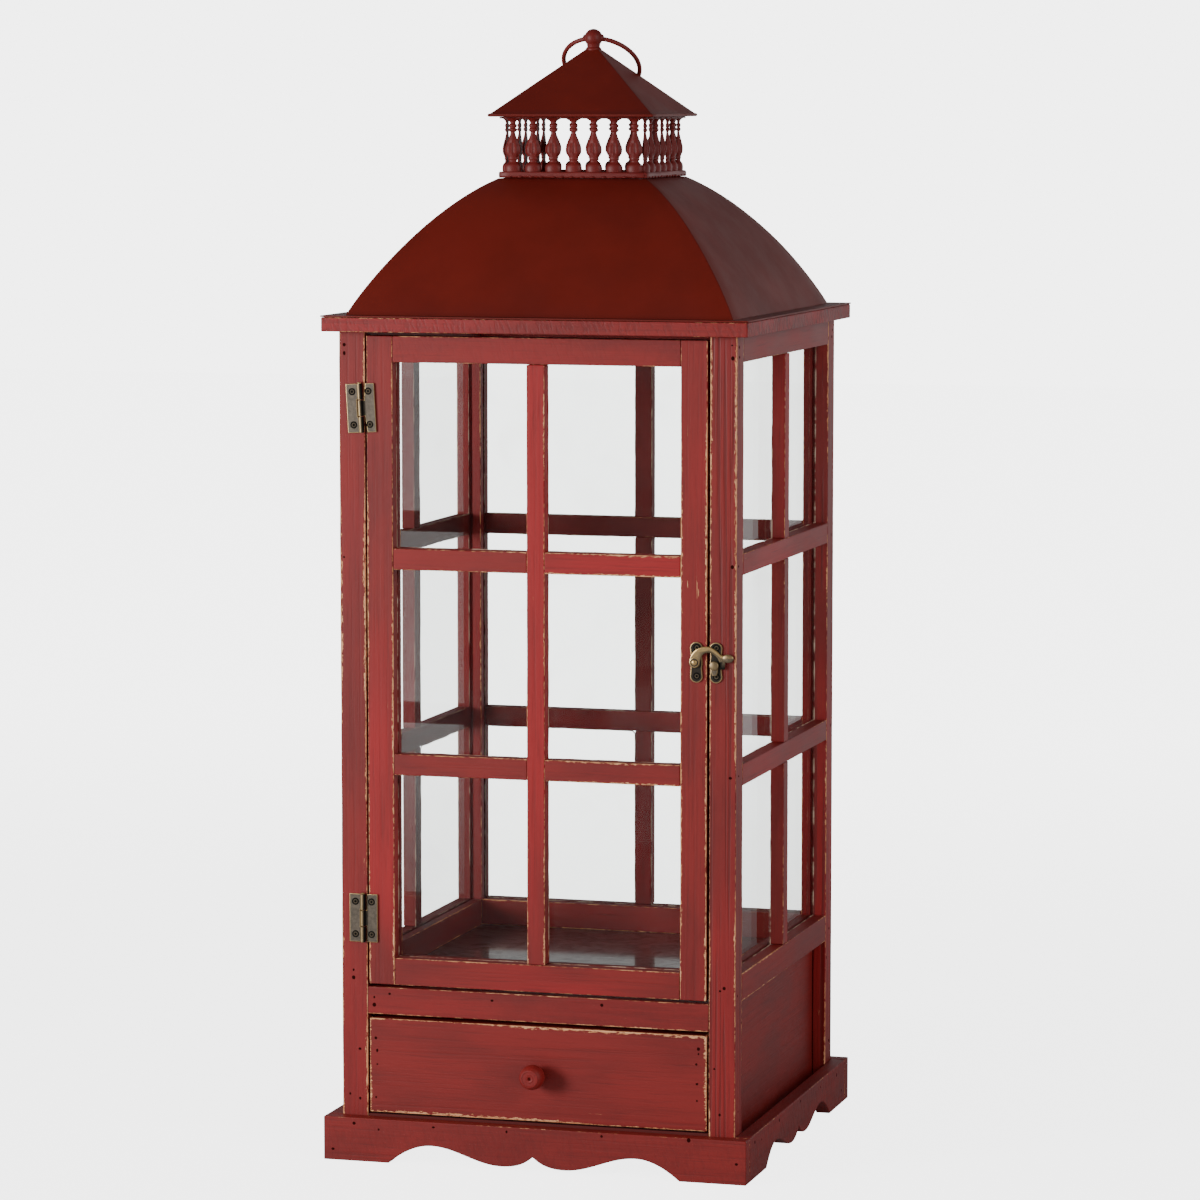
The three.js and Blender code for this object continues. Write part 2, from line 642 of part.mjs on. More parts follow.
// The hook is an arched arm: an eye on the rivet, over the stud, and down its far side.
function hookShape() {
  const inner = studRadius + hookSlack;
  const outer = inner + hookWidth;
  const shape = new THREE.Shape();
  const dropTo = -studDrop - 2.5;
  const at = (share) => share * studAcross;
  const tab = studAcross + tabReach;
  shape.moveTo(-eyeRadius, 0);
  shape.bezierCurveTo(-0.85 * eyeRadius, 6, at(0.1), 11.4, at(0.6), 11.4);
  shape.bezierCurveTo(at(0.88), 11.4, at(1.13), 8.8, at(1.31), 5.9);
  shape.bezierCurveTo(at(1.44), 4.9, tab - 2, 6.2, tab, 5.2);
  shape.bezierCurveTo(tab + 2, 3.6, tab, 0.6, studAcross + outer + 0.6, 1);
  shape.lineTo(studAcross + outer, dropTo);
  shape.lineTo(studAcross + inner, dropTo);
  shape.lineTo(studAcross + inner, -studDrop);
  shape.bezierCurveTo(studAcross + inner, 3.2, studAcross, 6.8, at(0.67), 7);
  shape.bezierCurveTo(at(0.46), 7, 1.1 * eyeRadius, 4.5, eyeRadius, 0);
  shape.absarc(0, 0, eyeRadius, 0, -Math.PI, true);
  return shape;
}
const hookBody = standUp(hookShape(), hookFront, hookThickness, 6)
  .translate(rivetX, 0, latchZ);
const eyeBore = rivetRadius + pivotSlack;
piece('latch_hook', cutAway(hookBody,
  disc(eyeBore, hookFront - 1, hookBack + 1, rivetX, latchZ, 16)), brass);

// ---- Drawer --------------------------------------------------------------------------
const drawerBackY = halfD - glassInset - panelThickness - drawerBackGap;
const drawerFrontBack = frontY + drawerFrontThickness;
const sideOuter = drawerHalf - drawerSideSetback;
const sideInner = sideOuter - drawerSideThickness;
const sideLow = bayFloorTop + slideGap;
const sideHigh = sideLow + drawerSideHeight;
board('drawer_front', [-drawerHalf, frontY, drawerLow],
  [drawerHalf, drawerFrontBack, drawerHigh], redPaint);
board('drawer_left_side', [-sideOuter, drawerFrontBack + seam, sideLow],
  [-sideInner, drawerBackY, sideHigh], bareWood);
board('drawer_right_side', [sideInner, drawerFrontBack + seam, sideLow],
  [sideOuter, drawerBackY, sideHigh], bareWood);
board('drawer_back', [-sideInner + seam, drawerBackY - drawerBackThickness, sideLow],
  [sideInner - seam, drawerBackY, sideHigh], bareWood);
board('drawer_bottom', [-sideInner + seam, drawerFrontBack + seam,
  sideLow + drawerBottomLift], [sideInner - seam, drawerBackY - drawerBackThickness - seam,
  sideLow + drawerBottomLift + drawerBottomThickness], bareWood);

const knobZ = (drawerLow + drawerHigh) / 2;
const knobEnd = knobLength - seam;
const knobProfile = [[0, 0], [knobNeck + 0.8, 0], [knobNeck, 2.2], [knobNeck + 0.4, 4],
  [0.78 * knobRadius, 6.2], [0.96 * knobRadius, 8.6], [knobRadius, 10.8],
  [0.95 * knobRadius, 13.2], [0.82 * knobRadius, 15.8], [knobFace, knobEnd - 0.5],
  [knobFace - 0.8, knobEnd], [0, knobEnd]];
piece('drawer_knob', turned(knobProfile, 24).rotateX(Math.PI / 2), redPaint)
  .position.set(0, frontY - seam, knobZ);

export default lantern;
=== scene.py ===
"""Barn lantern: its looks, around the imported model. Shapes are worked out in millimetres."""

import math

import bmesh
import bpy
import numpy as np
from mathutils import Matrix, Vector, noise


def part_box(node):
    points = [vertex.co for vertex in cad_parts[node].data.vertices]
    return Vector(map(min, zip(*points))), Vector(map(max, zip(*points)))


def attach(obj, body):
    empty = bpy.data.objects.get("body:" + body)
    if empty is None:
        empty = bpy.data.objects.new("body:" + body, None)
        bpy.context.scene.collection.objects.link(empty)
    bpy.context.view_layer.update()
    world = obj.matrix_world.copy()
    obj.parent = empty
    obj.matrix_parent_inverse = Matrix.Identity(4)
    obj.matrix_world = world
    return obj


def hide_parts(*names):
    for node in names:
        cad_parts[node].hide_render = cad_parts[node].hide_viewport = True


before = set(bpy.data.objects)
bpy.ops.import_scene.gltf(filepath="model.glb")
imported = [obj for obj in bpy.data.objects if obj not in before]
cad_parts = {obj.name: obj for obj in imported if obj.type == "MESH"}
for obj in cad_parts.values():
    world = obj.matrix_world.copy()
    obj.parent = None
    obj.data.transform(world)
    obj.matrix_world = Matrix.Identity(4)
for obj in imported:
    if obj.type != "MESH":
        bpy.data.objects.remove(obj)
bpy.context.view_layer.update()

# ---- Camera, floor and light -----------------------------------------------------------
# The lantern stands on a pale studio floor in soft light, with the main light low and to the
# left, and is seen from the front and a little to the right with a long lens.

EYE = (0.979, -3.375, 0.760)
TURN, DIP = 0.281, 0.1045  # radians: to the left of straight on, and down
GLOW = 3.9  # of the white that only the camera sees on the floor and behind

camera = bpy.data.objects.new("camera", bpy.data.cameras.new("camera"))
camera.location = EYE
camera.rotation_euler = (math.pi / 2 - DIP, 0, TURN)
camera.data.lens = 145.26
camera.data.sensor_width = 36
bpy.context.collection.objects.link(camera)
bpy.context.scene.camera = camera


class Tree:
    """Adds nodes to a node tree, each linked to what feeds it."""

    def __init__(self, tree):
        self.tree = tree

    def put(self, socket, value):
        if isinstance(value, bpy.types.Node):
            value = value.outputs[0]
        if isinstance(value, bpy.types.NodeSocket):
            self.tree.links.new(value, socket)
        else:
            socket.default_value = value

    def node(self, kind, inputs=None, **settings):
        made = self.tree.nodes.new(kind)
        for key, value in settings.items():
            setattr(made, key, value)
        for key, value in (inputs or {}).items():
            self.put(made.inputs[key], value)
        return made

    def math(self, operation, *values, clamp=False):
        kind = "ShaderNodeMath"
        return self.node(kind, dict(enumerate(values)), operation=operation, use_clamp=clamp)

    def vector(self, operation, *values):
        return self.node("ShaderNodeVectorMath", dict(enumerate(values)), operation=operation)

    def scaled(self, place, factor):
        return self.node("ShaderNodeVectorMath", {0: place, "Scale": factor}, operation="SCALE")

    def ramp(self, value, low, high, to_low=0.0, to_high=1.0):
        """A smooth step of value from low to high."""
        return self.node("ShaderNodeMapRange", {"Value": value, "From Min": low, "From Max": high,
                         "To Min": to_low, "To Max": to_high}, interpolation_type="SMOOTHSTEP")

    def mix(self, share, first, second, blend="MIX"):
        made = self.node("ShaderNodeMix", data_type="RGBA", blend_type=blend)
        for key, value in ((0, share), (6, first), (7, second)):
            self.put(made.inputs[key], value)
        return made.outputs[2]

    def noise(self, place, scale, detail=3.0, roughness=0.55, distortion=0.0):
        return self.node("ShaderNodeTexNoise", {
            "Vector": place, "Scale": scale, "Detail": detail, "Roughness": roughness,
            "Distortion": distortion}).outputs[0]


def colour(red, green, blue):
    """A colour as a paint card gives it, 0 to 255, for a shader."""
    def linear(c):
        c /= 255
        return c / 12.92 if c <= 0.04045 else ((c + 0.055) / 1.055) ** 2.4
    return (linear(red), linear(green), linear(blue), 1.0)


def material_tree(name):
    """A new material with no nodes, and the tree to fill."""
    material = bpy.data.materials.new(name)
    material.use_nodes = True
    material.node_tree.nodes.clear()
    return material, Tree(material.node_tree)


def close_material(tree, shader):
    tree.node("ShaderNodeOutputMaterial", {"Surface": shader})


def seen_white(tree, shader):
    """Adds a white glow that only the camera sees, so the backdrop is white and lights nothing."""
    seen = tree.node("ShaderNodeLightPath").outputs["Is Camera Ray"]
    glow = tree.node("ShaderNodeEmission", {"Strength": tree.math("MULTIPLY", seen, GLOW)})
    return tree.node("ShaderNodeAddShader", {0: shader, 1: glow})


def studio_floor():
    """Pale seamless paper, a little brighter far behind the lantern."""
    material, tree = material_tree("studio_floor")
    place = tree.node("ShaderNodeTexCoord").outputs["Object"]
    tone = tree.mix(tree.noise(place, 3.0), colour(226, 226, 225), colour(234, 234, 233))
    paper = tree.node("ShaderNodeBsdfDiffuse", {"Color": tone})
    far = tree.ramp(tree.node("ShaderNodeSeparateXYZ", {0: place}).outputs[1], 0.6, 2.4, 0, 0.7)
    lit = tree.node("ShaderNodeEmission", {"Strength": far})
    paper = tree.node("ShaderNodeAddShader", {0: paper, 1: lit})
    close_material(tree, seen_white(tree, paper))
    material.cycles.emission_sampling = "NONE"  # too wide and dim to aim light rays at
    mesh = bpy.data.meshes.new("studio_floor")
    reach = 9.0
    mesh.from_pydata([(-reach, -reach, 0), (reach, -reach, 0), (reach, reach, 0),
                      (-reach, reach, 0)], [], [(0, 1, 2, 3)])
    floor = bpy.data.objects.new("studio_floor", mesh)
    mesh.materials.append(material)
    bpy.context.collection.objects.link(floor)


def soft_box(name, place, target, width, height, power):
    """A rectangular lamp that faces its target."""
    light = bpy.data.lights.new(name, "AREA")
    light.shape = "RECTANGLE"
    light.size, light.size_y = width, height
    light.energy = power
    lamp = bpy.data.objects.new(name, light)
    lamp.location = place
    lamp.rotation_euler = (Vector(target) - Vector(place)).to_track_quat("-Z", "Y").to_euler()
    bpy.context.collection.objects.link(lamp)


def studio_walls():
    """Pale grey walls under a darker ceiling, and a lit white backdrop at the back."""
    world = bpy.data.worlds.new("studio_walls")
    world.use_nodes = True
    world.node_tree.nodes.clear()
    tree = Tree(world.node_tree)
    up = tree.node("ShaderNodeSeparateXYZ", {0: tree.node("ShaderNodeTexCoord").outputs[0]})
    share = tree.ramp(up.outputs[2], 0.1, 0.8)
    tone = tree.mix(share, (0.36, 0.36, 0.36, 1), (0.14, 0.14, 0.145, 1))
    behind = tree.math("MULTIPLY", tree.ramp(up.outputs[1], 0.7, 0.93),
                       tree.ramp(up.outputs[2], 0.3, 0.05))
    tone = tree.mix(behind, tone, (1.0, 1.0, 1.0, 1))
    walls = tree.node("ShaderNodeBackground", {"Color": tone, "Strength": 1.0})
    tree.node("ShaderNodeOutputWorld", {0: seen_white(tree, walls)})
    bpy.context.scene.world = world


studio_floor()
studio_walls()
MIDDLE = (0, 0, 0.4)
soft_box("main_light", (-1.9, -2.1, 0.75), MIDDLE, 0.8, 1.1, 60)
soft_box("side_light", (2.4, -1.4, 1.3), MIDDLE, 1.6, 1.6, 25)

# ---- Corner posts ----------------------------------------------------------------------
# Four sawn and planed softwood posts, 19 mm square, painted barn red and rubbed through at the
# edges. Each is grooved where the panes of its two walls slide in.

MM = 0.001
PANE_SLACK = 0.3  # on each side of a pane, and past its edge, in its groove
PANES = {side: f"{side}_glass" for side in ("left", "right", "back", "door")}


def box_mm(node):
    """The lowest and highest corner of a node, in millimetres."""
    low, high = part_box(node)
    return np.array(low) / MM, np.array(high) / MM


def piece(name, mesh, body, material=None, replaces=()):
    """Hangs a finished mesh on its body, in place of the plain solids it stands for."""
    made = bpy.data.objects.new(name, mesh)
    bpy.context.collection.objects.link(made)
    if material:
        mesh.materials.clear()
        mesh.materials.append(material)
    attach(made, body)
    if replaces:
        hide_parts(*replaces)
    return made


def rounded(outline, radii, shrink=0.0, steps=3):
    """An anticlockwise outline drawn in by shrink, with its sharp outer corners made arcs."""
    points = np.array(outline, float)
    ahead = np.roll(points, -1, 0) - points
    ahead /= np.linalg.norm(ahead, axis=1)[:, None]
    behind = np.roll(ahead, 1, 0)
    made = []
    for corner, d0, d1, radius in zip(points, behind, ahead, radii):
        n0, n1 = np.array([-d0[1], d0[0]]), np.array([-d1[1], d1[0]])
        inward = (n0 + n1) / (1 + n0 @ n1)
        turn = math.atan2(d0[0] * d1[1] - d0[1] * d1[0], d0 @ d1)
        corner = corner + shrink * inward
        if turn < 0.5:
            made.append(corner)
            continue
        centre = corner + inward * radius
        for step in range(steps + 1):
            angle = turn * step / steps
            c, s = math.cos(angle), math.sin(angle)
            made.append(centre - radius * np.array([n0[0] * c - n0[1] * s, n0[0] * s + n0[1] * c]))
    return made


def milled(outline, axis, start, end, radius=0.5, seed=0.0, worn=0.0, step=6.0, edge=None):
    """Points and faces of a bar: a section run along an axis, its ends eased, and its long
    corners rounded more where they are worn. The section is in the two axes after that one."""
    edge = radius if edge is None else edge
    length = end - start
    eased = [0.0, 0.3 * edge, edge]
    count = max(1, round((length - 2 * edge) / step))
    along = eased + [edge + (length - 2 * edge) * i / count for i in range(1, count)]
    along += [length - d for d in reversed(eased)]
    points, faces = [], []
    for s in along:
        near = min(s, length - s)
        shrink = edge - math.sqrt(max(0.0, edge**2 - max(0.0, edge - near) ** 2))
        radii = [radius * (1 + worn * noise.noise((0.05 * (s + start), 3.7 * i, seed)))
                 for i in range(len(outline))]
        ring = rounded(outline, radii, shrink)
        for a, b in ring:
            place = [0.0, 0.0, 0.0]
            place[axis], place[(axis + 1) % 3], place[(axis + 2) % 3] = start + s, a, b
            points.append(place)
    size = len(ring)
    for i in range(len(along) - 1):
        for j in range(size):
            k = (j + 1) % size
            faces.append((i * size + j, i * size + k, (i + 1) * size + k, (i + 1) * size + j))
    faces.append(tuple(reversed(range(size))))
    last = (len(along) - 1) * size
    faces.append(tuple(range(last, last + size)))
    return np.array(points), faces


def grooved(low, high, axis, panes=()):
    """A board's section, anticlockwise, cut where panes of glass run into it."""
    a, b = (axis + 1) % 3, (axis + 2) % 3
    corners = [(low[a], low[b]), (high[a], low[b]), (high[a], high[b]), (low[a], high[b])]
    notches = [[], [], [], []]
    for pane in panes:
        near, far = (edge + sign * PANE_SLACK for edge, sign in zip(box_mm(pane), (-1, 1)))
        if near[b] > low[b] and far[b] < high[b]:
            if near[a] < high[a] < far[a]:
                notches[1].append([(high[a], near[b]), (near[a], near[b]),
                                   (near[a], far[b]), (high[a], far[b])])
            elif near[a] < low[a] < far[a]:
                notches[3].append([(low[a], far[b]), (far[a], far[b]),
                                   (far[a], near[b]), (low[a], near[b])])
        elif near[a] > low[a] and far[a] < high[a]:
            if near[b] < high[b] < far[b]:
                notches[2].append([(far[a], high[b]), (far[a], near[b]),
                                   (near[a], near[b]), (near[a], high[b])])
            elif near[b] < low[b] < far[b]:
                notches[0].append([(near[a], low[b]), (near[a], far[b]),
                                   (far[a], far[b]), (far[a], low[b])])
    return [p for i in range(4) for p in [corners[i], *(q for n in notches[i] for q in n)]]


class Boards:
    """Collects planed boards into one mesh. Each point keeps its board's corners, its grain,
    its facts (a seed, how worn it is, how bright its paint is) and its surface (whether its ends
    are worn too, how rough the saw left it, how strong the grain is), which the paint reads."""

    def __init__(self):
        self.points, self.faces, self.facts = [], [], []

    def add(self, shape, low, high, grain, seed, worn=0.5, tone=0.5, surface=(0, 0, 0.15)):
        points, faces = shape
        base = sum(len(p) for p in self.points)
        self.points.append(points)
        self.faces += [tuple(base + i for i in face) for face in faces]
        row = [*(low * MM), *(high * MM), *np.eye(3)[grain], seed, worn, tone, *surface]
        self.facts += [row] * len(points)
        return self

    def board(self, low, high, grain, seed, worn=0.5, tone=0.5, panes=(), radius=0.5,
              surface=(0, 0, 0.15)):
        outline = grooved(low, high, grain, panes)
        shape = milled(outline, grain, low[grain], high[grain], radius, seed, 0.9 * worn)
        return self.add(shape, low, high, grain, seed, worn, tone, surface)

    def mesh(self, name):
        made = bpy.data.meshes.new(name)
        made.from_pydata((np.concatenate(self.points) * MM).tolist(), [], self.faces)
        facts = np.array(self.facts, np.float32)
        for i, attribute in enumerate(("board_low", "board_high", "grain", "facts", "surface")):
            made.attributes.new(attribute, "FLOAT_VECTOR", "POINT").data.foreach_set(
                "vector", facts[:, 3 * i:3 * i + 3].ravel())
        return made


class BoardTree(Tree):
    """What a finish needs to know of the board it lies on."""

    def __init__(self, tree):
        super().__init__(tree)
        self.place = self.node("ShaderNodeTexCoord").outputs["Object"]
        facts = self.node("ShaderNodeSeparateXYZ", {0: self.attribute("facts")})
        self.seed, self.worn, self.tone = facts.outputs
        surface = self.node("ShaderNodeSeparateXYZ", {0: self.attribute("surface")})
        self.ends, self.sawn, self.figure = surface.outputs
        inside = self.vector("MINIMUM", self.vector("SUBTRACT", self.place,
                             self.attribute("board_low")),
                             self.vector("SUBTRACT", self.attribute("board_high"), self.place))
        unworn = self.math("MULTIPLY", self.math("SUBTRACT", 1.0, self.ends), 9.0)
        inside = self.vector("ADD", inside, self.scaled(self.attribute("grain"), unworn))
        x, y, z = self.node("ShaderNodeSeparateXYZ", {0: inside}).outputs
        # The middle one of the three depths is the way in from the nearest worn edge.
        middle = self.math("MAXIMUM", self.math("MINIMUM", x, y), self.math(
            "MINIMUM", self.math("MAXIMUM", x, y), z))
        self.inward = self.math("MULTIPLY", middle, 1 / MM)
        self.shifted = self.vector("ADD", self.place, self.scaled(
            self.attribute("facts"), 0.37))

    def attribute(self, name):
        node = self.node("ShaderNodeAttribute", attribute_name=name)
        return node.outputs["Vector"]

    def along_grain(self, share):
        """The board's own coordinates, drawn out along its grain."""
        grain = self.attribute("grain")
        along = self.vector("DOT_PRODUCT", self.shifted, grain).outputs[1]
        return self.vector("SUBTRACT", self.shifted, self.scaled(
            grain, self.math("MULTIPLY", along, 1 - share)))


def barn_red():
    """Brushed barn red over brown wood, rubbed through to pale wood along the edges."""
    material, plain = material_tree("barn_red")
    tree = BoardTree(plain.tree)
    fine = tree.noise(tree.along_grain(0.025), 900, 4, 0.6)
    streak = tree.noise(tree.along_grain(0.04), 260, 4, 0.6, 0.4)
    rings = tree.noise(tree.along_grain(0.012), 330, 2, 0.5, 0.3)
    cloud = tree.noise(tree.along_grain(0.35), 30, 3)
    patch = tree.noise(tree.along_grain(0.3), 13, 2)

    red = tree.mix(tree.ramp(cloud, 0.35, 0.65), colour(122, 26, 23), colour(140, 30, 26))
    bright = tree.math("MULTIPLY", tree.ramp(patch, 0.46, 0.66), tree.tone)
    red = tree.mix(bright, red, colour(170, 24, 28))
    red = tree.mix(tree.ramp(streak, 0.5, 0.72, 0, 0.32), red, colour(98, 18, 16))
    red = tree.mix(tree.ramp(fine, 0.54, 0.72, 0, 0.5), red, colour(94, 17, 14))
    lines = tree.math("MULTIPLY", tree.ramp(rings, 0.53, 0.62), tree.figure)
    red = tree.mix(tree.math("MULTIPLY", lines, 0.55), red, colour(84, 16, 14))

    # Marks across the grain, left by the saw and the brush, lean a little.
    x, y, z = tree.node("ShaderNodeSeparateXYZ", {0: tree.shifted}).outputs
    lean = tree.math("MULTIPLY", z, 0.28)
    crossing = tree.node("ShaderNodeCombineXYZ", {
        0: tree.math("ADD", x, lean), 1: tree.math("ADD", y, lean),
        2: tree.math("MULTIPLY", z, 0.06)})
    marks = tree.noise(crossing, 430, 2, 0.5, 0.2)
    facing = tree.node("ShaderNodeSeparateXYZ", {
        0: tree.node("ShaderNodeTexCoord").outputs["Normal"]}).outputs[0]
    sideways = tree.ramp(tree.math("ABSOLUTE", facing), 0.3, 0.7, 0.4, 1.0)
    sawn = tree.math("MULTIPLY", tree.ramp(marks, 0.48, 0.6), tree.sawn)
    sawn = tree.math("MULTIPLY", sawn, sideways)
    red = tree.mix(tree.math("MULTIPLY", sawn, 0.6), red, colour(72, 14, 12))

    ragged = tree.noise(tree.along_grain(0.3), 760, 5, 0.75)
    spread = tree.noise(tree.along_grain(0.5), 16, 3, 0.6)
    reach = tree.math("MULTIPLY", tree.ramp(spread, 0.38, 0.64, 0.3, 1.15), tree.worn)
    reach = tree.math("MULTIPLY", reach, tree.ramp(ragged, 0.34, 0.66, 0.0, 1.7))
    over = tree.math("SUBTRACT", reach, tree.inward)
    wear = tree.ramp(over, -0.05, 0.2)
    chip_noise = tree.noise(tree.along_grain(0.08), 300, 4, 0.65)
    chips = tree.math("MULTIPLY", tree.ramp(chip_noise, 0.70, 0.72),
                      tree.ramp(tree.noise(tree.shifted, 15, 2), 0.5, 0.62))
    chips = tree.math("MULTIPLY", chips, tree.ramp(tree.inward, 9.0, 5.0))
    chips = tree.math("MULTIPLY", chips, tree.math("MULTIPLY", tree.worn, 1.2), clamp=True)
    bare = tree.math("MAXIMUM", wear, chips)
    wood = tree.mix(tree.ramp(fine, 0.3, 0.7), colour(252, 188, 138), colour(214, 138, 92))
    rim = tree.ramp(over, -0.7, 0.0)
    red = tree.mix(tree.math("MULTIPLY", rim, 0.3), red, colour(122, 36, 26))
    paint = tree.mix(bare, red, wood)

    rough = tree.math("ADD", 0.44, tree.math("MULTIPLY", 0.2, cloud))
    rough = tree.math("ADD", rough, tree.math("MULTIPLY", bare, 0.22), clamp=True)
    height = tree.math("MULTIPLY", fine, -0.5)
    for share, layer in ((0.8, bare), (0.5, streak), (0.9, lines), (0.9, sawn)):
        height = tree.math("SUBTRACT", height, tree.math("MULTIPLY", layer, share))
    bump = tree.node("ShaderNodeBump", {"Height": height, "Strength": 0.6, "Distance": 0.0003})
    close_material(tree, tree.node("ShaderNodeBsdfPrincipled", {
        "Base Color": paint, "Roughness": rough, "Normal": bump, "Specular IOR Level": 0.42}))
    return material


BARN_RED = barn_red()


def red_board(node, grain, body="frame", worn=0.5, tone=0.5, panes=(), radius=0.5,
              surface=(0, 0, 0.15)):
    """A single red board, made to the size of its plain solid."""
    low, high = box_mm(node)
    seed = sum(map(ord, node)) % 97 / 9.7
    boards = Boards().board(low, high, grain, seed, worn, tone, panes, radius, surface)
    mesh = boards.mesh(node)
    return piece(f"{node}_wood", mesh, body, BARN_RED, [node])


X, Y, Z = 0, 1, 2
for end in ("front", "back"):
    for side in ("left", "right"):
        panes = [PANES[side]] + ([PANES["back"]] if end == "back" else [])
        figure = 1.0 if side == "right" else 0.25
        worn = {"front_left": 1.35, "front_right": 1.0}.get(f"{end}_{side}", 0.7)
        red_board(f"{end}_{side}_post", Z, worn=worn, tone=0.35 if end == "front" else 0.5,
                  panes=panes, surface=(0, 0, figure))

# ---- Glazed walls ----------------------------------------------------------------------
# The left, right and back walls are alike: a bottom and a top rail between the posts, a lattice
# of two level muntins and one upright in front of a pane of thin glass, and a recessed panel.

MUNTIN_WIDTH, MUNTIN_HEIGHT = 13.0, 15.0
LAP = 0.05  # of air in the butt joints of the muntins


def lattice(node, run, body, worn, tone, through):
    """One upright and two level muntins, halved into each other so that either way may run
    through. The others are butted against it in short lengths."""
    low, high = box_mm(node)
    seed = sum(map(ord, node)) % 97 / 9.7
    middle = (low[run] + high[run]) / 2
    pane = (high[Z] - low[Z] - 2 * MUNTIN_HEIGHT) / 3
    left, right = middle - MUNTIN_WIDTH / 2, middle + MUNTIN_WIDTH / 2
    feet = [low[Z] + row * pane + (row - 1) * MUNTIN_HEIGHT for row in (1, 2)]
    bars = []
    if through == "upright":
        bars.append((Z, left, right, low[Z], high[Z]))
        for foot in feet:
            for start, end in ((low[run], left - LAP), (right + LAP, high[run])):
                bars.append((run, start, end, foot, foot + MUNTIN_HEIGHT))
    else:
        starts = [low[Z]] + [foot + MUNTIN_HEIGHT + LAP for foot in feet]
        ends = [foot - LAP for foot in feet] + [high[Z]]
        bars += [(Z, left, right, start, end) for start, end in zip(starts, ends)]
        bars += [(run, low[run], high[run], foot, foot + MUNTIN_HEIGHT) for foot in feet]
    boards = Boards()
    for i, (grain, start, end, foot, head) in enumerate(bars):
        a, b = low.copy(), high.copy()
        a[run], b[run], a[Z], b[Z] = start, end, foot, head
        boards.board(a, b, grain, seed + i, worn, tone, radius=0.6)
    return piece(f"{node}_wood", boards.mesh(node), body, BARN_RED, [node])


def window_glass():
    """Thin drawn window glass: clear but for faint grey smears, and mirroring more at a slant."""
    material, tree = material_tree("window_glass")
    place = tree.node("ShaderNodeTexCoord").outputs["Object"]
    drawn = tree.node("ShaderNodeBump", {"Height": tree.noise(place, 7, 1), "Strength": 0.03,
                      "Distance": 0.002})
    smears = tree.ramp(tree.noise(place, 24, 3, 0.6, 1.0), 0.5, 0.8)
    tint = tree.mix(smears, (0.93, 0.94, 0.935, 1), (0.90, 0.905, 0.90, 1))
    clear = tree.node("ShaderNodeBsdfTransparent", {"Color": tint})
    mirror = tree.node("ShaderNodeBsdfGlossy", {"Roughness": 0.02, "Normal": drawn})
    slant = tree.math("POWER", tree.node("ShaderNodeLayerWeight", {"Blend": 0.5}).outputs[1], 5.0)
    shine = tree.math("ADD", 0.012, tree.math("MULTIPLY", slant, 0.75))
    close_material(tree, tree.node("ShaderNodeMixShader", {0: shine, 1: clear, 2: mirror}))
    return material


WINDOW_GLASS = window_glass()


def glaze(node):
    """Gives a plain pane, whose shape is right, its glass."""
    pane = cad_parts[node]
    pane.data.materials.clear()
    pane.data.materials.append(WINDOW_GLASS)


for side, run in (("left", Y), ("right", Y), ("back", X)):
    glass = [PANES[side]]
    red_board(f"{side}_bottom_rail", run, worn=0.6, tone=0.2, panes=glass)
    red_board(f"{side}_top_rail", run, worn=0.4, tone=0.2, panes=glass)
    lattice(f"{side}_muntins", run, "frame", 0.35, 0.7, "level")
    glaze(PANES[side])
    red_board(f"{side}_lower_panel", run, worn=0.15, tone=0.0)

# ---- Middle rail, floors and door stop -------------------------------------------------
# The middle rail closes the front under the door. Behind it lies the cabin floor, in gloss
# paint, and lower down the plain board that the drawer runs on.

red_board("middle_rail", X, worn=0.55, tone=0.2, surface=(0, 0.2, 0.15))
red_board("door_stop", Z, worn=0.3, tone=0.5)


def gloss_floor():
    """Dark gloss paint, scuffed and dusty in places."""
    material, plain = material_tree("gloss_floor")
    tree = BoardTree(plain.tree)
    cloud = tree.noise(tree.place, 18, 4)
    scuff = tree.noise(tree.place, 60, 4, 0.6, 0.8)
    tone = tree.mix(cloud, colour(62, 18, 15), colour(84, 26, 20))
    tone = tree.mix(tree.ramp(scuff, 0.6, 0.75, 0, 0.16), tone, colour(150, 104, 92))
    rough = tree.ramp(scuff, 0.4, 0.7, 0.3, 0.5)
    bump = tree.node("ShaderNodeBump", {"Height": tree.noise(tree.place, 45, 2),
                     "Strength": 0.12, "Distance": 0.0004})
    close_material(tree, tree.node("ShaderNodeBsdfPrincipled", {
        "Base Color": tone, "Roughness": rough, "Normal": bump, "Coat Weight": 0.8,
        "Coat Roughness": 0.09, "Specular IOR Level": 0.4}))
    return material


def bare_softwood():
    """Unpainted softwood, gone brown with age."""
    material, plain = material_tree("bare_softwood")
    tree = BoardTree(plain.tree)
    fine = tree.noise(tree.along_grain(0.02), 700, 4, 0.6)
    rings = tree.noise(tree.along_grain(0.05), 90, 3, 0.5, 1.2)
    tone = tree.mix(tree.ramp(rings, 0.35, 0.65), colour(176, 134, 90), colour(140, 98, 62))
    tone = tree.mix(tree.ramp(fine, 0.5, 0.75, 0, 0.5), tone, colour(104, 70, 44))
    # Where the board's front end shows in the gap under the drawer, the red paint was brushed over
    # it, in a darker red than the boards that also paints the gap's shade.
    behind = tree.vector("SUBTRACT", tree.place, tree.attribute("board_low"))
    behind = tree.node("ShaderNodeSeparateXYZ", {0: behind}).outputs[1]
    painted = tree.math("MULTIPLY", tree.ramp(behind, 0.016, 0.010), tree.tone)
    tone = tree.mix(painted, tone, colour(92, 18, 15))
    bump = tree.node("ShaderNodeBump", {"Height": fine, "Strength": 0.4, "Distance": 0.0003})
    close_material(tree, tree.node("ShaderNodeBsdfPrincipled", {
        "Base Color": tone, "Roughness": 0.8, "Normal": bump}))
    return material


GLOSS_FLOOR = gloss_floor()
BARE_SOFTWOOD = bare_softwood()


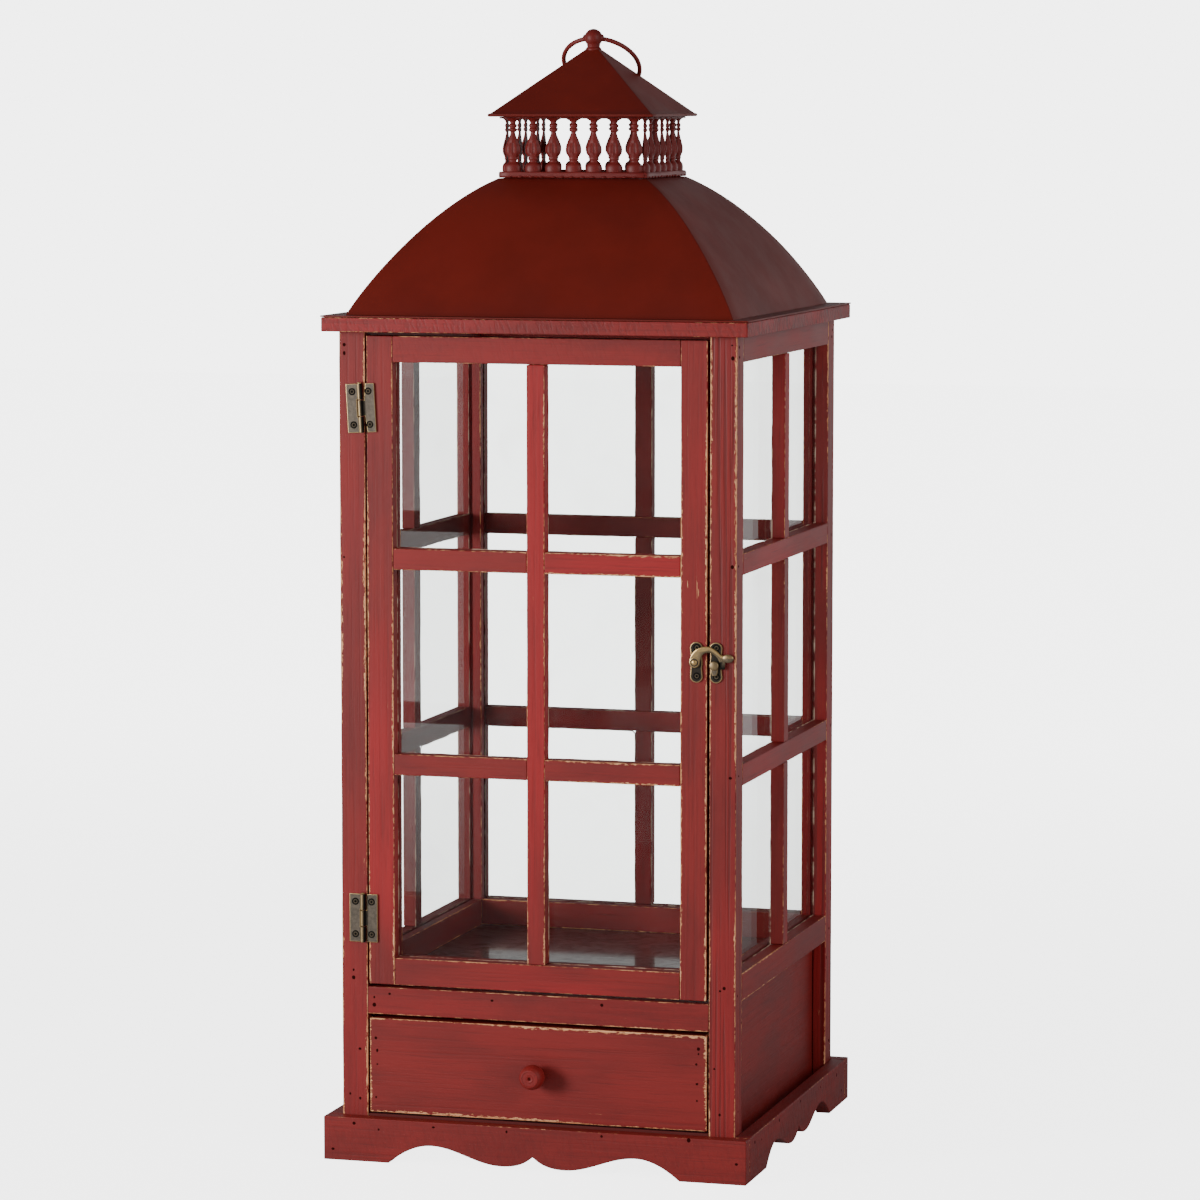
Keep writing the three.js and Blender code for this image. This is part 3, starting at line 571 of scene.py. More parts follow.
def bare_board(node, grain, body="frame", painted=0):
    """A single unpainted board, made to the size of its plain solid."""
    low, high = box_mm(node)
    seed = sum(map(ord, node)) % 97 / 9.7
    mesh = Boards().board(low, high, grain, seed, 0.3, painted).mesh(node)
    return piece(f"{node}_wood", mesh, body, BARE_SOFTWOOD, [node])


floor_low, floor_high = box_mm("cabin_floor")
floor_mesh = Boards().board(floor_low, floor_high, X, 3.1, 0.3).mesh("cabin_floor")
piece("cabin_floor_wood", floor_mesh, "frame", GLOSS_FLOOR, ["cabin_floor"])
bare_board("drawer_bay_floor", X, painted=1)

# ---- Base boards -----------------------------------------------------------------------
# Four boards nailed round the foot of the posts. Their lower edge is sawn to two flat arches
# that meet in a small cusp, and leaves a foot at each end.

FOOT = 48.5
ARCH_PEAK, CUSP, LOBE = 14.2, 10.6, 2.6
ARCH_SHARE, LOBE_SHARE = 0.7, 0.22


def curve(start, *handles, steps=14):
    """Points on a cubic curve after its start, in equal steps."""
    a, b, c, d = (np.array(p, float) for p in (start, *handles))
    shares = [i / steps for i in range(1, steps + 1)]
    return [a * (1 - t)**3 + 3 * b * t * (1 - t)**2 + 3 * c * t * t * (1 - t) + d * t**3
            for t in shares]


def scallops(half, height):
    """A base board's outline about its middle, as (across, up), anticlockwise."""
    foot_end = half - FOOT
    peak, lobe, cusp = (ARCH_SHARE * foot_end, ARCH_PEAK), (LOBE_SHARE * foot_end, LOBE), (0, CUSP)
    right = [np.array(cusp, float)]
    right += curve(cusp, (0.04 * foot_end, 7), (0.09 * foot_end, LOBE), lobe)
    right += curve(lobe, (lobe[0] + 0.17 * foot_end, LOBE), (peak[0] - 0.17 * foot_end, ARCH_PEAK),
                   peak)
    right += curve(peak, (peak[0] + 0.11 * foot_end, ARCH_PEAK), (0.91 * foot_end, 8),
                   (foot_end, 0))
    right += [np.array([half, 0.0]), np.array([half, height])]
    return right + [p * (-1, 1) for p in reversed(right[1:])]


def base_board(node, run):
    """A scalloped board along X or Y, its ends showing at the corners."""
    low, high = box_mm(node)
    middle = (low[run] + high[run]) / 2
    outline = [p + (middle, 0) for p in scallops((high[run] - low[run]) / 2, high[Z])]
    depth = Y if run == X else X
    if run == X:
        # The section's two axes after Y are Z and X, so across and up change places.
        outline = [(z, x) for x, z in reversed(outline)]
    seed = sum(map(ord, node)) % 97 / 9.7
    shape = milled(outline, depth, low[depth], high[depth], 0.7, seed, 0.5, step=4.0)
    boards = Boards().add(shape, low, high, run, seed, worn=0.3, tone=0.0,
                          surface=(1, 0.45, 0.2))
    piece(f"{node}_wood", boards.mesh(node), "frame", BARN_RED, [node])


for side, run in (("front", X), ("back", X), ("left", Y), ("right", Y)):
    base_board(f"{side}_apron", run)

# ---- Cornice board ---------------------------------------------------------------------
# One wide board on top of the posts, with a square hole that lets the candle's heat up into
# the dome.

VENT = 58.0  # half the side of the hole


def square_stack(rings, side_steps=10, corner=0.9, ripple=0.0):
    """Rounded squares of (half side, height) stacked along a closed outline."""
    points, faces = [], []
    for half, height in rings:
        flat = half - corner
        for quarter in range(4):
            turn = Matrix.Rotation(quarter * math.pi / 2, 2)
            side = [(half, flat * (2 * i / side_steps - 1)) for i in range(side_steps + 1)]
            arc = [(flat + corner * math.cos(a), flat + corner * math.sin(a))
                   for a in (math.pi / 6, math.pi / 3)]
            for x, y in (turn @ Vector(p) for p in side + arc):
                dent = ripple * noise.noise((x / 60, y / 60, height / 45))
                points.append((x * (1 + dent / half), y * (1 + dent / half), height))
    size = len(points) // len(rings)
    for i in range(len(rings)):
        for j in range(size):
            k, up = (j + 1) % size, (i + 1) % len(rings)
            faces.append((i * size + j, i * size + k, up * size + k, up * size + j))
    return np.array(points), faces


low, high = box_mm("cornice_board")
outer, foot, head = high[X], low[Z], high[Z]
EASE = 0.6  # the cornice's edges are eased by this much
cornice_outline = [(VENT, head), (VENT, foot)]
for half, height, sign in ((outer, foot, 1), (outer, head, -1)):
    arc = [(half - EASE * (1 - math.sin(a)), height + sign * EASE * (1 - math.cos(a)))
           for a in np.linspace(0, math.pi / 2, 4)]
    cornice_outline += arc[::sign]
cornice = Boards().add(square_stack(cornice_outline, 40, 1.2, 0.25), low, high, X, 5.3, 0.35, 0.5,
                       (0, 1.0, 0.2))
piece("cornice_board_wood", cornice.mesh("cornice_board"), "frame", BARN_RED,
      ["cornice_board"])

# ---- Door ------------------------------------------------------------------------------
# Two through stiles with the rails between them, a lattice of muntins and a pane. The paint is
# brightest here, and worn along the edges that hands touch.

DOOR_GLASS = [PANES["door"]]
red_board("door_left_stile", Z, "door", worn=1.0, tone=0.9, panes=DOOR_GLASS)
red_board("door_right_stile", Z, "door", worn=1.0, tone=0.7, panes=DOOR_GLASS)
red_board("door_bottom_rail", X, "door", worn=0.6, tone=0.9, panes=DOOR_GLASS)
red_board("door_top_rail", X, "door", worn=0.6, tone=0.3, panes=DOOR_GLASS,
          surface=(0, 0.35, 0.1))
lattice("door_muntins", X, "door", 0.9, 0.8, "upright")
glaze(PANES["door"])

# ---- Drawer ----------------------------------------------------------------------------
# A nailed box of bare wood behind a red front, which is worn most at its ends and top edge,
# with a turned knob screwed to its middle.

red_board("drawer_front", X, "drawer", worn=1.6, tone=0.0, surface=(1, 0, 0.2))
for part, run in (("left_side", Y), ("right_side", Y), ("back", X), ("bottom", X)):
    bare_board(f"drawer_{part}", run, "drawer")


def turned(profile, around, steps=40, flutes=None):
    """A closed turned solid from (radius, height) points that start and end on its axis.
    around gives the place of a point from (x, y, height)."""
    points, faces = [], []
    for radius, height in profile[1:-1]:
        for j in range(steps):
            angle = 2 * math.pi * j / steps
            r = radius * (1 - flutes(angle, height) if flutes else 1)
            points.append(around(r * math.cos(angle), r * math.sin(angle), height))
    rings = len(profile) - 2
    for i in range(rings - 1):
        for j in range(steps):
            k = (j + 1) % steps
            faces.append((i * steps + j, i * steps + k, (i + 1) * steps + k, (i + 1) * steps + j))
    points += [around(0, 0, profile[0][1]), around(0, 0, profile[-1][1])]
    foot, tip = len(points) - 2, len(points) - 1
    for j in range(steps):
        k = (j + 1) % steps
        faces.append((foot, k, j))
        faces.append((tip, (rings - 1) * steps + j, (rings - 1) * steps + k))
    return np.array(points), faces


def smooth(mesh, degrees=35):
    """Smooth shading, with creases sharper than an angle kept."""
    mesh.shade_smooth()
    mesh.set_sharp_from_angle(angle=math.radians(degrees))
    return mesh


def spline(points, steps=6):
    """A smooth line through points, as a turner sweeps from one to the next."""
    p = np.array([points[0], *points, points[-1]], float)
    made = []
    for i in range(1, len(p) - 2):
        for step in range(steps):
            t = step / steps
            made.append(0.5 * ((2 * p[i]) + (p[i + 1] - p[i - 1]) * t
                               + (2 * p[i - 1] - 5 * p[i] + 4 * p[i + 1] - p[i + 2]) * t**2
                               + (3 * p[i] - p[i - 1] - 3 * p[i + 1] + p[i + 2]) * t**3))
    return [*made, p[-1]]


knob_low, knob_high = box_mm("drawer_knob")
KNOB = (knob_high[X] - knob_low[X]) / 2
LENGTH = knob_high[Y] - knob_low[Y]
knob_x, knob_z = (knob_low[X] + knob_high[X]) / 2, (knob_low[Z] + knob_high[Z]) / 2
swell = spline([(0.6 * KNOB, 0.02 * LENGTH), (0.56 * KNOB, 0.14 * LENGTH),
                (0.7 * KNOB, 0.25 * LENGTH), (0.93 * KNOB, 0.38 * LENGTH), (KNOB, 0.52 * LENGTH),
                (0.99 * KNOB, 0.68 * LENGTH), (0.9 * KNOB, 0.84 * LENGTH),
                (0.74 * KNOB, 0.94 * LENGTH)])
face = [(0.7 * KNOB, 0.965 * LENGTH), (0.62 * KNOB, 0.97 * LENGTH), (0.59 * KNOB, 0.95 * LENGTH),
        (0.34 * KNOB, 0.95 * LENGTH), (0.31 * KNOB, 0.97 * LENGTH), (0.22 * KNOB, 0.97 * LENGTH),
        (0.14 * KNOB, 0.95 * LENGTH), (0.12 * KNOB, 0.86 * LENGTH)]
knob_profile = [(0, 0), (0.6 * KNOB, 0), *swell, *face, (0, 0.85 * LENGTH)]
knob = turned(knob_profile, lambda x, y, h: (knob_x + x, knob_high[Y] - h, knob_z + y), 48)
knob_mesh = Boards().add(knob, knob_low - 3, knob_high + 3, Y, 2.2, 0.1, 0.2).mesh("drawer_knob")
piece("drawer_knob_wood", smooth(knob_mesh), "drawer", BARN_RED, ["drawer_knob"])

# ---- Dome ------------------------------------------------------------------------------
# Four bowed panels of thin sheet, soldered along the hips, with a flat flange that lies on the
# cornice board. Sprayed a dark red-brown.

SHEET = 1.0
DOME_TOP = 55.0  # half the side of the dome at the gallery
MOUTH = 45.0  # half the side of the opening there
FLANGE = 14.4  # from the flange's edge in to the dome's foot
dome_low, dome_high = box_mm("dome")


def metal_paint(name, deep, light, smoothest, gloss):
    """Satin red-brown paint on metal, a little cloudy, with a faint orange peel."""
    material, tree = material_tree(name)
    place = tree.node("ShaderNodeTexCoord").outputs["Object"]
    cloud = tree.noise(place, 14, 4)
    speck = tree.noise(place, 900, 2)
    tone = tree.mix(tree.ramp(cloud, 0.3, 0.7), deep, light)
    tone = tree.mix(tree.ramp(speck, 0.72, 0.8, 0, 0.3), tone, colour(140, 60, 50))
    rough = tree.ramp(tree.noise(place, 40, 4, 0.6), 0.3, 0.7, smoothest, smoothest + 0.05)
    bump = tree.node("ShaderNodeBump", {"Height": tree.noise(place, 420, 3), "Strength": 0.12,
                     "Distance": 0.0003})
    close_material(tree, tree.node("ShaderNodeBsdfPrincipled", {
        "Base Color": tone, "Roughness": rough, "Normal": bump, "Specular IOR Level": gloss}))
    return material


SHEET_PAINT = metal_paint("sheet_paint", colour(99, 25, 17), colour(111, 29, 20), 0.47, 0.2)


def mesh_of(name, *shapes):
    """One mesh from several (points, faces) in millimetres."""
    boards = Boards()
    for points, faces in shapes:
        boards.add((np.array(points), faces), np.min(points, 0), np.max(points, 0), X, 0.0)
    return boards.mesh(name)


def dome_outline():
    """Up the bowed outside, in at the mouth, down the inside and out to the flange's edge."""
    edge = dome_high[X]
    foot = edge - FLANGE
    base = dome_low[Z] + SHEET
    rise = dome_high[Z] - base
    shoulder = [(foot + (DOME_TOP - foot) * (1 - bow), base + rise * share) for bow, share in
                [(1.0, 0.0), *curve((1, 0), (0.866, 0.25), (0.4535, 0.79), (0, 1), steps=30)]]
    slope = np.gradient(np.array(shoulder), axis=0)
    slope /= np.linalg.norm(slope, axis=1)[:, None]
    inside = [(half - s[1] * SHEET, z + s[0] * SHEET)
              for (half, z), s in zip(shoulder, slope)]
    inside[0] = (foot - SHEET, dome_low[Z])
    inside[-1] = (DOME_TOP - SHEET, dome_high[Z] - SHEET)
    return [*shoulder, (MOUTH, dome_high[Z]), (MOUTH, dome_high[Z] - SHEET),
            *reversed(inside), (edge, dome_low[Z]), (edge, dome_low[Z] + SHEET)]


dome_mesh = mesh_of("dome", square_stack(dome_outline(), 12, ripple=0.5))
piece("dome_sheet", smooth(dome_mesh, 30), "frame", SHEET_PAINT, ["dome"])

# ---- Gallery ---------------------------------------------------------------------------
# Four cast strips of half-round balusters on a foot band, soldered to the dome's top edge.

BALUSTERS, END = 7, 1.55
STRIP_BACK = 51.0  # half the distance between the backs of two opposite strips
CAST_PAINT = metal_paint("cast_paint", colour(104, 27, 24), colour(126, 38, 33), 0.42, 0.3)
FOOT_BAND, TOP_BAND = 4.4, 1.2  # the heights of the two bands
FOOT_REACH, TOP_REACH = 4.2, 3.4  # how far they stand out from the strip's back
SUNK = 1.2  # how far the balusters' feet go down into the foot band
BACKING = 0.6  # how far the bands go behind the balusters


def geometry_tree(name, sockets):
    """A geometry tree with named inputs. Gives the tree, and the group's input node."""
    group = bpy.data.node_groups.new(name, "GeometryNodeTree")
    group.interface.new_socket("Geometry", in_out="OUTPUT", socket_type="NodeSocketGeometry")
    group.interface.new_socket("Geometry", in_out="INPUT", socket_type="NodeSocketGeometry")
    for label, kind in sockets.items():
        group.interface.new_socket(label, in_out="INPUT", socket_type=f"NodeSocket{kind}")
    tree = Tree(group)
    return tree, tree.node("NodeGroupInput")


def end_geometry(tree, instances, material):
    """Makes a tree's copies real, paints them, and gives the finished group."""
    real = tree.node("GeometryNodeRealizeInstances", {0: instances})
    painted = tree.node("GeometryNodeSetMaterial", {"Geometry": real, "Material": material})
    tree.node("NodeGroupOutput", {0: painted})
    return tree.tree


def grown(group, name, base, **values):
    """What a geometry tree makes on a base mesh, as a plain mesh in metres."""
    holder = bpy.data.objects.new(name, base)
    bpy.context.collection.objects.link(holder)
    nodes = holder.modifiers.new(name, "NODES")
    nodes.node_group = group
    sockets = {item.name: item.identifier for item in group.interface.items_tree
               if item.in_out == "INPUT"}
    for label, value in values.items():
        nodes[sockets[label.replace("_", " ")]] = value
    graph = bpy.context.evaluated_depsgraph_get()
    made = bpy.data.meshes.new_from_object(holder.evaluated_get(graph))
    bpy.data.objects.remove(holder)
    return made


def turned_balusters():
    """A row of half-round balusters along X, standing on the XY plane and facing -Y."""
    tree, given = geometry_tree("turned_balusters", {
        "Count": "Int", "Pitch": "Float", "Height": "Float", "Widest": "Float",
        "Depth Share": "Float", "Material": "Material"})
    grid = tree.node("GeometryNodeMeshGrid", {"Size X": 1.0, "Size Y": 1.0, "Vertices X": 25,
                     "Vertices Y": 61})
    across, up, _ = tree.node("ShaderNodeSeparateXYZ", {
        0: tree.node("GeometryNodeInputPosition")}).outputs
    angle = tree.math("MULTIPLY", tree.math("ADD", across, 0.5), 2 * math.pi)
    share = tree.math("ADD", up, 0.5)
    shape = tree.node("ShaderNodeFloatCurve", {"Value": share})
    line = shape.mapping.curves[0]
    for x, y in ((0.0, 0.0), (0.012, 0.76), (0.08, 0.82), (0.14, 0.76), (0.19, 0.48),
                 (0.225, 0.38), (0.25, 0.5), (0.27, 0.46), (0.31, 0.56), (0.41, 0.78),
                 (0.53, 0.62), (0.66, 0.33), (0.735, 0.24), (0.755, 0.42), (0.785, 0.44),
                 (0.805, 0.28), (0.825, 0.4), (0.86, 0.42), (0.88, 0.26), (0.91, 0.3),
                 (0.945, 0.5), (0.972, 0.78), (0.988, 1.0)):
        line.points.new(x, y)
    line.points[-1].location = (1.0, 0.0)
    line.points[0].location = (0.0, 0.0)
    shape.mapping.update()
    radius = tree.math("MULTIPLY", shape, given.outputs["Widest"])
    bulb = tree.math("MULTIPLY", tree.ramp(share, 0.29, 0.35), tree.ramp(share, 0.62, 0.54))
    groove = tree.math("POWER", tree.math("ABSOLUTE", tree.math(
        "COSINE", tree.math("MULTIPLY", angle, 5.0))), 6.0)
    radius = tree.math("MULTIPLY", radius, tree.math("SUBTRACT", 1.0, tree.math(
        "MULTIPLY", tree.math("MULTIPLY", bulb, groove), 0.26)))
    x = tree.math("MULTIPLY", radius, tree.math("COSINE", angle))
    y = tree.math("MULTIPLY", radius, tree.math("SINE", angle))
    y = tree.math("MAXIMUM", tree.math("MULTIPLY", y, given.outputs["Depth Share"]), -0.0004)
    y = tree.math("MULTIPLY", y, -1.0)
    z = tree.math("MULTIPLY", share, given.outputs["Height"])
    bent = tree.node("GeometryNodeSetPosition", {"Geometry": grid, "Position": tree.node(
        "ShaderNodeCombineXYZ", {0: x, 1: y, 2: z})})
    welded = tree.node("GeometryNodeMergeByDistance", {"Geometry": bent, "Distance": 1e-6})
    shaded = tree.node("GeometryNodeSetShadeSmooth", {"Geometry": welded})
    span = tree.math("MULTIPLY", given.outputs["Pitch"], tree.math(
        "SUBTRACT", given.outputs["Count"], 1.0))
    row = tree.node("GeometryNodeMeshLine", {
        "Count": given.outputs["Count"],
        "Start Location": tree.node("ShaderNodeCombineXYZ", {
            0: tree.math("MULTIPLY", span, -0.5)}),
        "Offset": tree.node("ShaderNodeCombineXYZ", {0: given.outputs["Pitch"]})})
    placed = tree.node("GeometryNodeInstanceOnPoints", {"Points": row, "Instance": shaded})
    return end_geometry(tree, placed, given.outputs["Material"])


def merged(name, *meshes):
    """Several meshes as one, with their normals pointing out."""
    joined = bmesh.new()
    for mesh in meshes:
        joined.from_mesh(mesh)
    bmesh.ops.recalc_face_normals(joined, faces=joined.faces)
    made = bpy.data.meshes.new(name)
    joined.to_mesh(made)
    joined.free()
    return made


def solder(name, start, end, count, seed, size=1.3):
    """Uneven beads of solder in a row from start to end, in millimetres."""
    shapes = []
    for i in range(count):
        share = (i + 0.5 + 0.35 * noise.noise((i * 3.1, seed, 0))) / count
        centre = np.array(start) + (np.array(end) - np.array(start)) * share
        bulk = size * (0.65 + 0.5 * abs(noise.noise((i * 1.7, seed, 4.0))))
        stretch = np.array([2.1 + noise.noise((i, seed, 9.0)), 1.0, 0.8]) * bulk
        profile = [(math.sin(a), -math.cos(a)) for a in np.linspace(0, math.pi, 7)]
        shapes.append(turned([(max(r, 0.0), h) for r, h in profile],
                             lambda x, y, h: centre + stretch * (x, y, h), 10))
    return mesh_of(name, *shapes)


BALUSTER_TREE = turned_balusters()
strip_low, strip_high = box_mm("front_gallery")
pitch = (strip_high[X] - strip_low[X] - 2 * END) / BALUSTERS
for side, quarter in (("front", 0), ("right", 1), ("back", 2), ("left", 3)):
    node = f"{side}_gallery"
    height = strip_high[Z] - strip_low[Z]
    half = (strip_high[X] - strip_low[X]) / 2 - (1.0 if quarter % 2 == 0 else 0.0)
    row = grown(BALUSTER_TREE, node, bpy.data.meshes.new(node), Count=BALUSTERS,
                Pitch=pitch * MM, Height=(height - FOOT_BAND + SUNK) * MM,
                Widest=pitch / 2 * MM, Depth_Share=0.56, Material=CAST_PAINT)
    foot_head = strip_low[Z] + FOOT_BAND
    row.transform(Matrix.Translation((0, -STRIP_BACK * MM, (foot_head - SUNK) * MM)))
    foot = np.array([-half, -STRIP_BACK - FOOT_REACH, strip_low[Z]])
    foot_top = np.array([half, -STRIP_BACK + BACKING, foot_head])
    head = np.array([-half, -STRIP_BACK - TOP_REACH, strip_high[Z] - TOP_BAND])
    head_top = np.array([half, -STRIP_BACK + BACKING, strip_high[Z]])
    bands = Boards().board(foot, foot_top, X, quarter + 0.5, 1.0, radius=1.2)
    bands.board(head, head_top, X, quarter + 1.5, 0.3, radius=0.4)
    seam = [(end * (half - 3), -STRIP_BACK - FOOT_REACH + 0.1, strip_low[Z] + 0.8)
            for end in (-1, 1)]
    beads = solder(node, *seam, 13, quarter + 2.0)
    strip = merged(node, row, bands.mesh(node), beads)
    strip.transform(Matrix.Rotation(quarter * math.pi / 2, 4, "Z"))
    piece(f"{node}_strip", smooth(strip, 40), "frame", CAST_PAINT, [node])

# ---- Upper roof ------------------------------------------------------------------------
# A low pyramid of the same sheet, folded from one piece and hemmed at the eaves.

ROOF_FLAT = 4.6  # half the side of the flat under the ball
SOFFIT = 49.0  # half the side of the opening in the soffit
roof_low, roof_high = box_mm("upper_roof")
eave = roof_high[X]
slope = math.atan2(roof_high[Z] - roof_low[Z] - SHEET, eave - ROOF_FLAT)
under = SHEET / math.cos(slope)
tip_z = roof_high[Z]


def roof_outline(steps=14):
    """Up the outside from the eave, across under the ball, down the inside and the soffit."""
    hem = [(eave - 0.7, roof_low[Z] - 0.2), (eave - 0.1, roof_low[Z] + 0.1),
           (eave + 0.2, roof_low[Z] + 0.8), (eave + 0.1, roof_low[Z] + 1.6),
           (eave - 0.6, roof_low[Z] + 2.15)]
    foot = np.array([eave - 1.6, roof_low[Z] + SHEET + 1.35])
    peak = np.array([ROOF_FLAT, tip_z])
    outside = [tuple(foot + (peak - foot) * i / steps) for i in range(steps + 1)]
    inner_foot = (eave - under / math.tan(slope) - 0.6, roof_low[Z] + SHEET)
    return [*hem, *outside, (0.6, tip_z), (0.6, tip_z - under), (ROOF_FLAT, tip_z - under),
            inner_foot, (SOFFIT, roof_low[Z] + SHEET), (SOFFIT, roof_low[Z])]


plug = turned([(0, tip_z - under), (1.2, tip_z - under), (1.2, tip_z), (0, tip_z)],
              lambda x, y, h: (x, y, h), 12)
roof_mesh = mesh_of("upper_roof", square_stack(roof_outline(), 10, corner=0.5, ripple=0.25), plug)
piece("upper_roof_sheet", smooth(roof_mesh, 30), "frame", SHEET_PAINT,
      ["upper_roof"])

# ---- Finial and ring handle ------------------------------------------------------------
# A cast ball on a short fluted neck, soldered over the tip of the roof, with a wire ring through
# it that lies back on the rear slope.

ball_low, ball_high = box_mm("finial")
BALL = (ball_high[X] - ball_low[X]) / 2
ball_z = ball_high[Z] - BALL
ring_low, ring_high = box_mm("ring_handle")
SOLID_WIRE, WIRE = 1.45, 1.7  # the wire's radius in the plain solid, and here
NECK = 5.0


def finial_profile():
    """The neck, which flares over the roof's tip, and the ball."""
    base = ball_low[Z]
    neck = [(0, base - 1.2), (NECK + 0.7, base - 1.2), (NECK + 0.8, base - 0.2),
            (NECK + 0.3, base + 0.7), (NECK - 0.2, base + 1.3)]
    start = -math.acos(NECK / BALL)
    sphere = [(BALL * math.cos(a), ball_z + BALL * math.sin(a))
              for a in np.linspace(start, math.pi / 2, 22)]
    return [*neck, *sphere[:-1], (0, sphere[-1][1])]


def petals(angle, height):
    """The neck's flutes, which fade out a third of the way up the ball."""
    fade = max(0.0, 1 - (height - ball_low[Z] - 1.0) / (0.55 * BALL))
    return 0.07 * min(1.0, fade) * abs(math.sin(4 * angle)) if height > ball_low[Z] + 1 else 0.0


def boss(sign):
    """The little collar where the wire leaves the ball."""
    profile = [(0, 0), (2.5, 0), (2.7, 0.5), (2.3, 1.5), (1.7, 1.9), (0, 1.9)]
    return turned(profile, lambda x, y, h: (sign * (BALL - 0.9 + h), sign * x, ball_z + y), 20)


finial_mesh = mesh_of("finial", turned(finial_profile(), lambda x, y, h: (x, y, h), 48, petals),
                      boss(1), boss(-1))
piece("finial_ball", smooth(finial_mesh), "frame", CAST_PAINT, ["finial"])

centre = (ring_low + ring_high) / 2
RING = (ring_high[X] - ring_low[X]) / 2 - SOLID_WIRE
tilt = math.atan2(ball_z - centre[Z], centre[Y])


def ring_shape(around=96, section=14):
    """The wire, bent round and tilted to lie on the roof, a little uneven in thickness."""
    points, faces = [], []
    for i in range(around):
        a = 2 * math.pi * i / around
        wire = WIRE * (1 + 0.05 * noise.noise((math.cos(a) * 3, math.sin(a) * 3, 0)))
        for j in range(section):
            b = 2 * math.pi * j / section
            r = RING + wire * math.cos(b)
            x, y, z = r * math.cos(a), r * math.sin(a), wire * math.sin(b)
            points.append((x, centre[Y] + y * math.cos(tilt) + z * math.sin(tilt),
                           centre[Z] - y * math.sin(tilt) + z * math.cos(tilt)))
            k, up = (j + 1) % section, (i + 1) % around
            faces.append((i * section + j, up * section + j, up * section + k, i * section + k))
    return np.array(points), faces


ring_mesh = mesh_of("ring_handle", ring_shape())
piece("ring_handle_wire", smooth(ring_mesh, 60), "ring", CAST_PAINT,
      ["ring_handle"])

# ---- Hinges ----------------------------------------------------------------------------
# Two small brass butt hinges, gone dark. Each has a leaf on the post, a leaf on the door and a
# loose pin, and each leaf is held by two countersunk screws. The upper one leans a little.

LEAF_HALF, LEAF_REACH, LEAF = 17.3, 10.5, 0.9
KNUCKLE, BORE, PIN = 1.9, 1.4, 0.6
KNUCKLE_HALF = (2 * LEAF_HALF - 1.2) / 6
NOTCH = 2.4  # how far a leaf is cut back from the pin where the other one's knuckle turns
NOTCH_EASE = 0.25  # the least room between a leaning hinge's notch and that knuckle
PIN_X, PIN_Y = -128.3, -147.45


def old_brass():
    """Dark brass, polished where it is rubbed and black where dirt stays, with painted highlight
    and painted shade in the same two marks.
    """
    material, tree = material_tree("old_brass")
    place = tree.node("ShaderNodeTexCoord").outputs["Object"]
    polish = tree.node("ShaderNodeAttribute", attribute_name="polish").outputs["Fac"]
    soot_and_shade = tree.node("ShaderNodeAttribute", attribute_name="soot_and_shade").outputs["Fac"]
    cloud = tree.noise(place, 320, 4, 0.6)
    speck = tree.noise(place, 1500, 3, 0.6)
    tone = tree.mix(tree.ramp(cloud, 0.35, 0.65), colour(94, 86, 77), colour(110, 100, 88))
    tone = tree.mix(tree.ramp(speck, 0.5, 0.75, 0, 0.5), tone, colour(60, 60, 50))
    # rubbed holds the rubbed brass and the painted highlights together.
    rubbed = tree.math("MULTIPLY", polish, tree.ramp(cloud, 0.2, 0.5, 0.55, 1.0))
    tone = tree.mix(rubbed, tone, colour(214, 178, 118))
    tone = tree.mix(soot_and_shade, tone, colour(10, 8, 5))
    rough = tree.math("SUBTRACT", 0.5, tree.math("MULTIPLY", rubbed, 0.22))
    rough = tree.math("ADD", rough, tree.math("MULTIPLY", soot_and_shade, 0.42))
    metal = tree.math("MULTIPLY", 0.85, tree.math("SUBTRACT", 1.0, soot_and_shade))
    bump = tree.node("ShaderNodeBump", {"Height": speck, "Strength": 0.25, "Distance": 0.0001})
    close_material(tree, tree.node("ShaderNodeBsdfPrincipled", {
        "Base Color": tone, "Roughness": rough, "Metallic": metal, "Normal": bump,
        "Specular IOR Level": 0.2}))
    return material


OLD_BRASS = old_brass()


def stamped(outline, near, far, edge=0.35, rim=0.6, recess=0.0, polish=0.7, soot_and_shade=0.0,
            lit=0.0, face=0.0):
    """A small plate from an anticlockwise (x, z) outline between two depths. Its front edge is
    rounded and rubbed, and inside a narrow rim its face may be sunk and darkened. Where lit is
    set, edges that face up get a painted highlight and edges that face down get painted shade."""
    plan = [(far, 0.0, 0.2, 0.0), (near + edge, 0.0, 0.6, 0.0),
            (near + 0.3 * edge, 0.3 * edge, 1.0, 0.0), (near, edge, 1.0, 0.0),
            (near, edge + rim, 0.4, 0.0), (near + recess, edge + rim + recess, face, soot_and_shade)]
    flipped = [(z, x) for x, z in reversed(outline)]
    points, faces, marks = [], [], []
    for y, shrink, shine, dirt in plan:
        ring = rounded(flipped, [0.25] * len(flipped), shrink, 2)
        for i, (z, x) in enumerate(ring):
            ahead, behind = ring[(i + 1) % len(ring)], ring[i - 1]
            run = np.array(ahead) - np.array(behind)
            # upward paints a highlight on the edges that face up and shade on the edges that face
            # down.
            upward = lit * run[1] / (np.linalg.norm(run) or 1)
            points.append((x, y, z))
            marks.append((shine * (polish + max(0.0, upward)), dirt + max(0.0, -0.7 * upward)))
    size = len(ring)
    for i in range(len(plan) - 1):
        for j in range(size):
            k = (j + 1) % size
            faces.append((i * size + j, (i + 1) * size + j, (i + 1) * size + k, i * size + k))
    faces.append(tuple(range(size)))
    faces.append(tuple(reversed(range((len(plan) - 1) * size, len(plan) * size))))
    return points, faces, marks


def fitting(shape, polish=0.0, soot_and_shade=0.0):
    """A turned or other shape, evenly rubbed or dirty."""
    points, faces = shape
    return list(points), faces, [(polish, soot_and_shade)] * len(points)


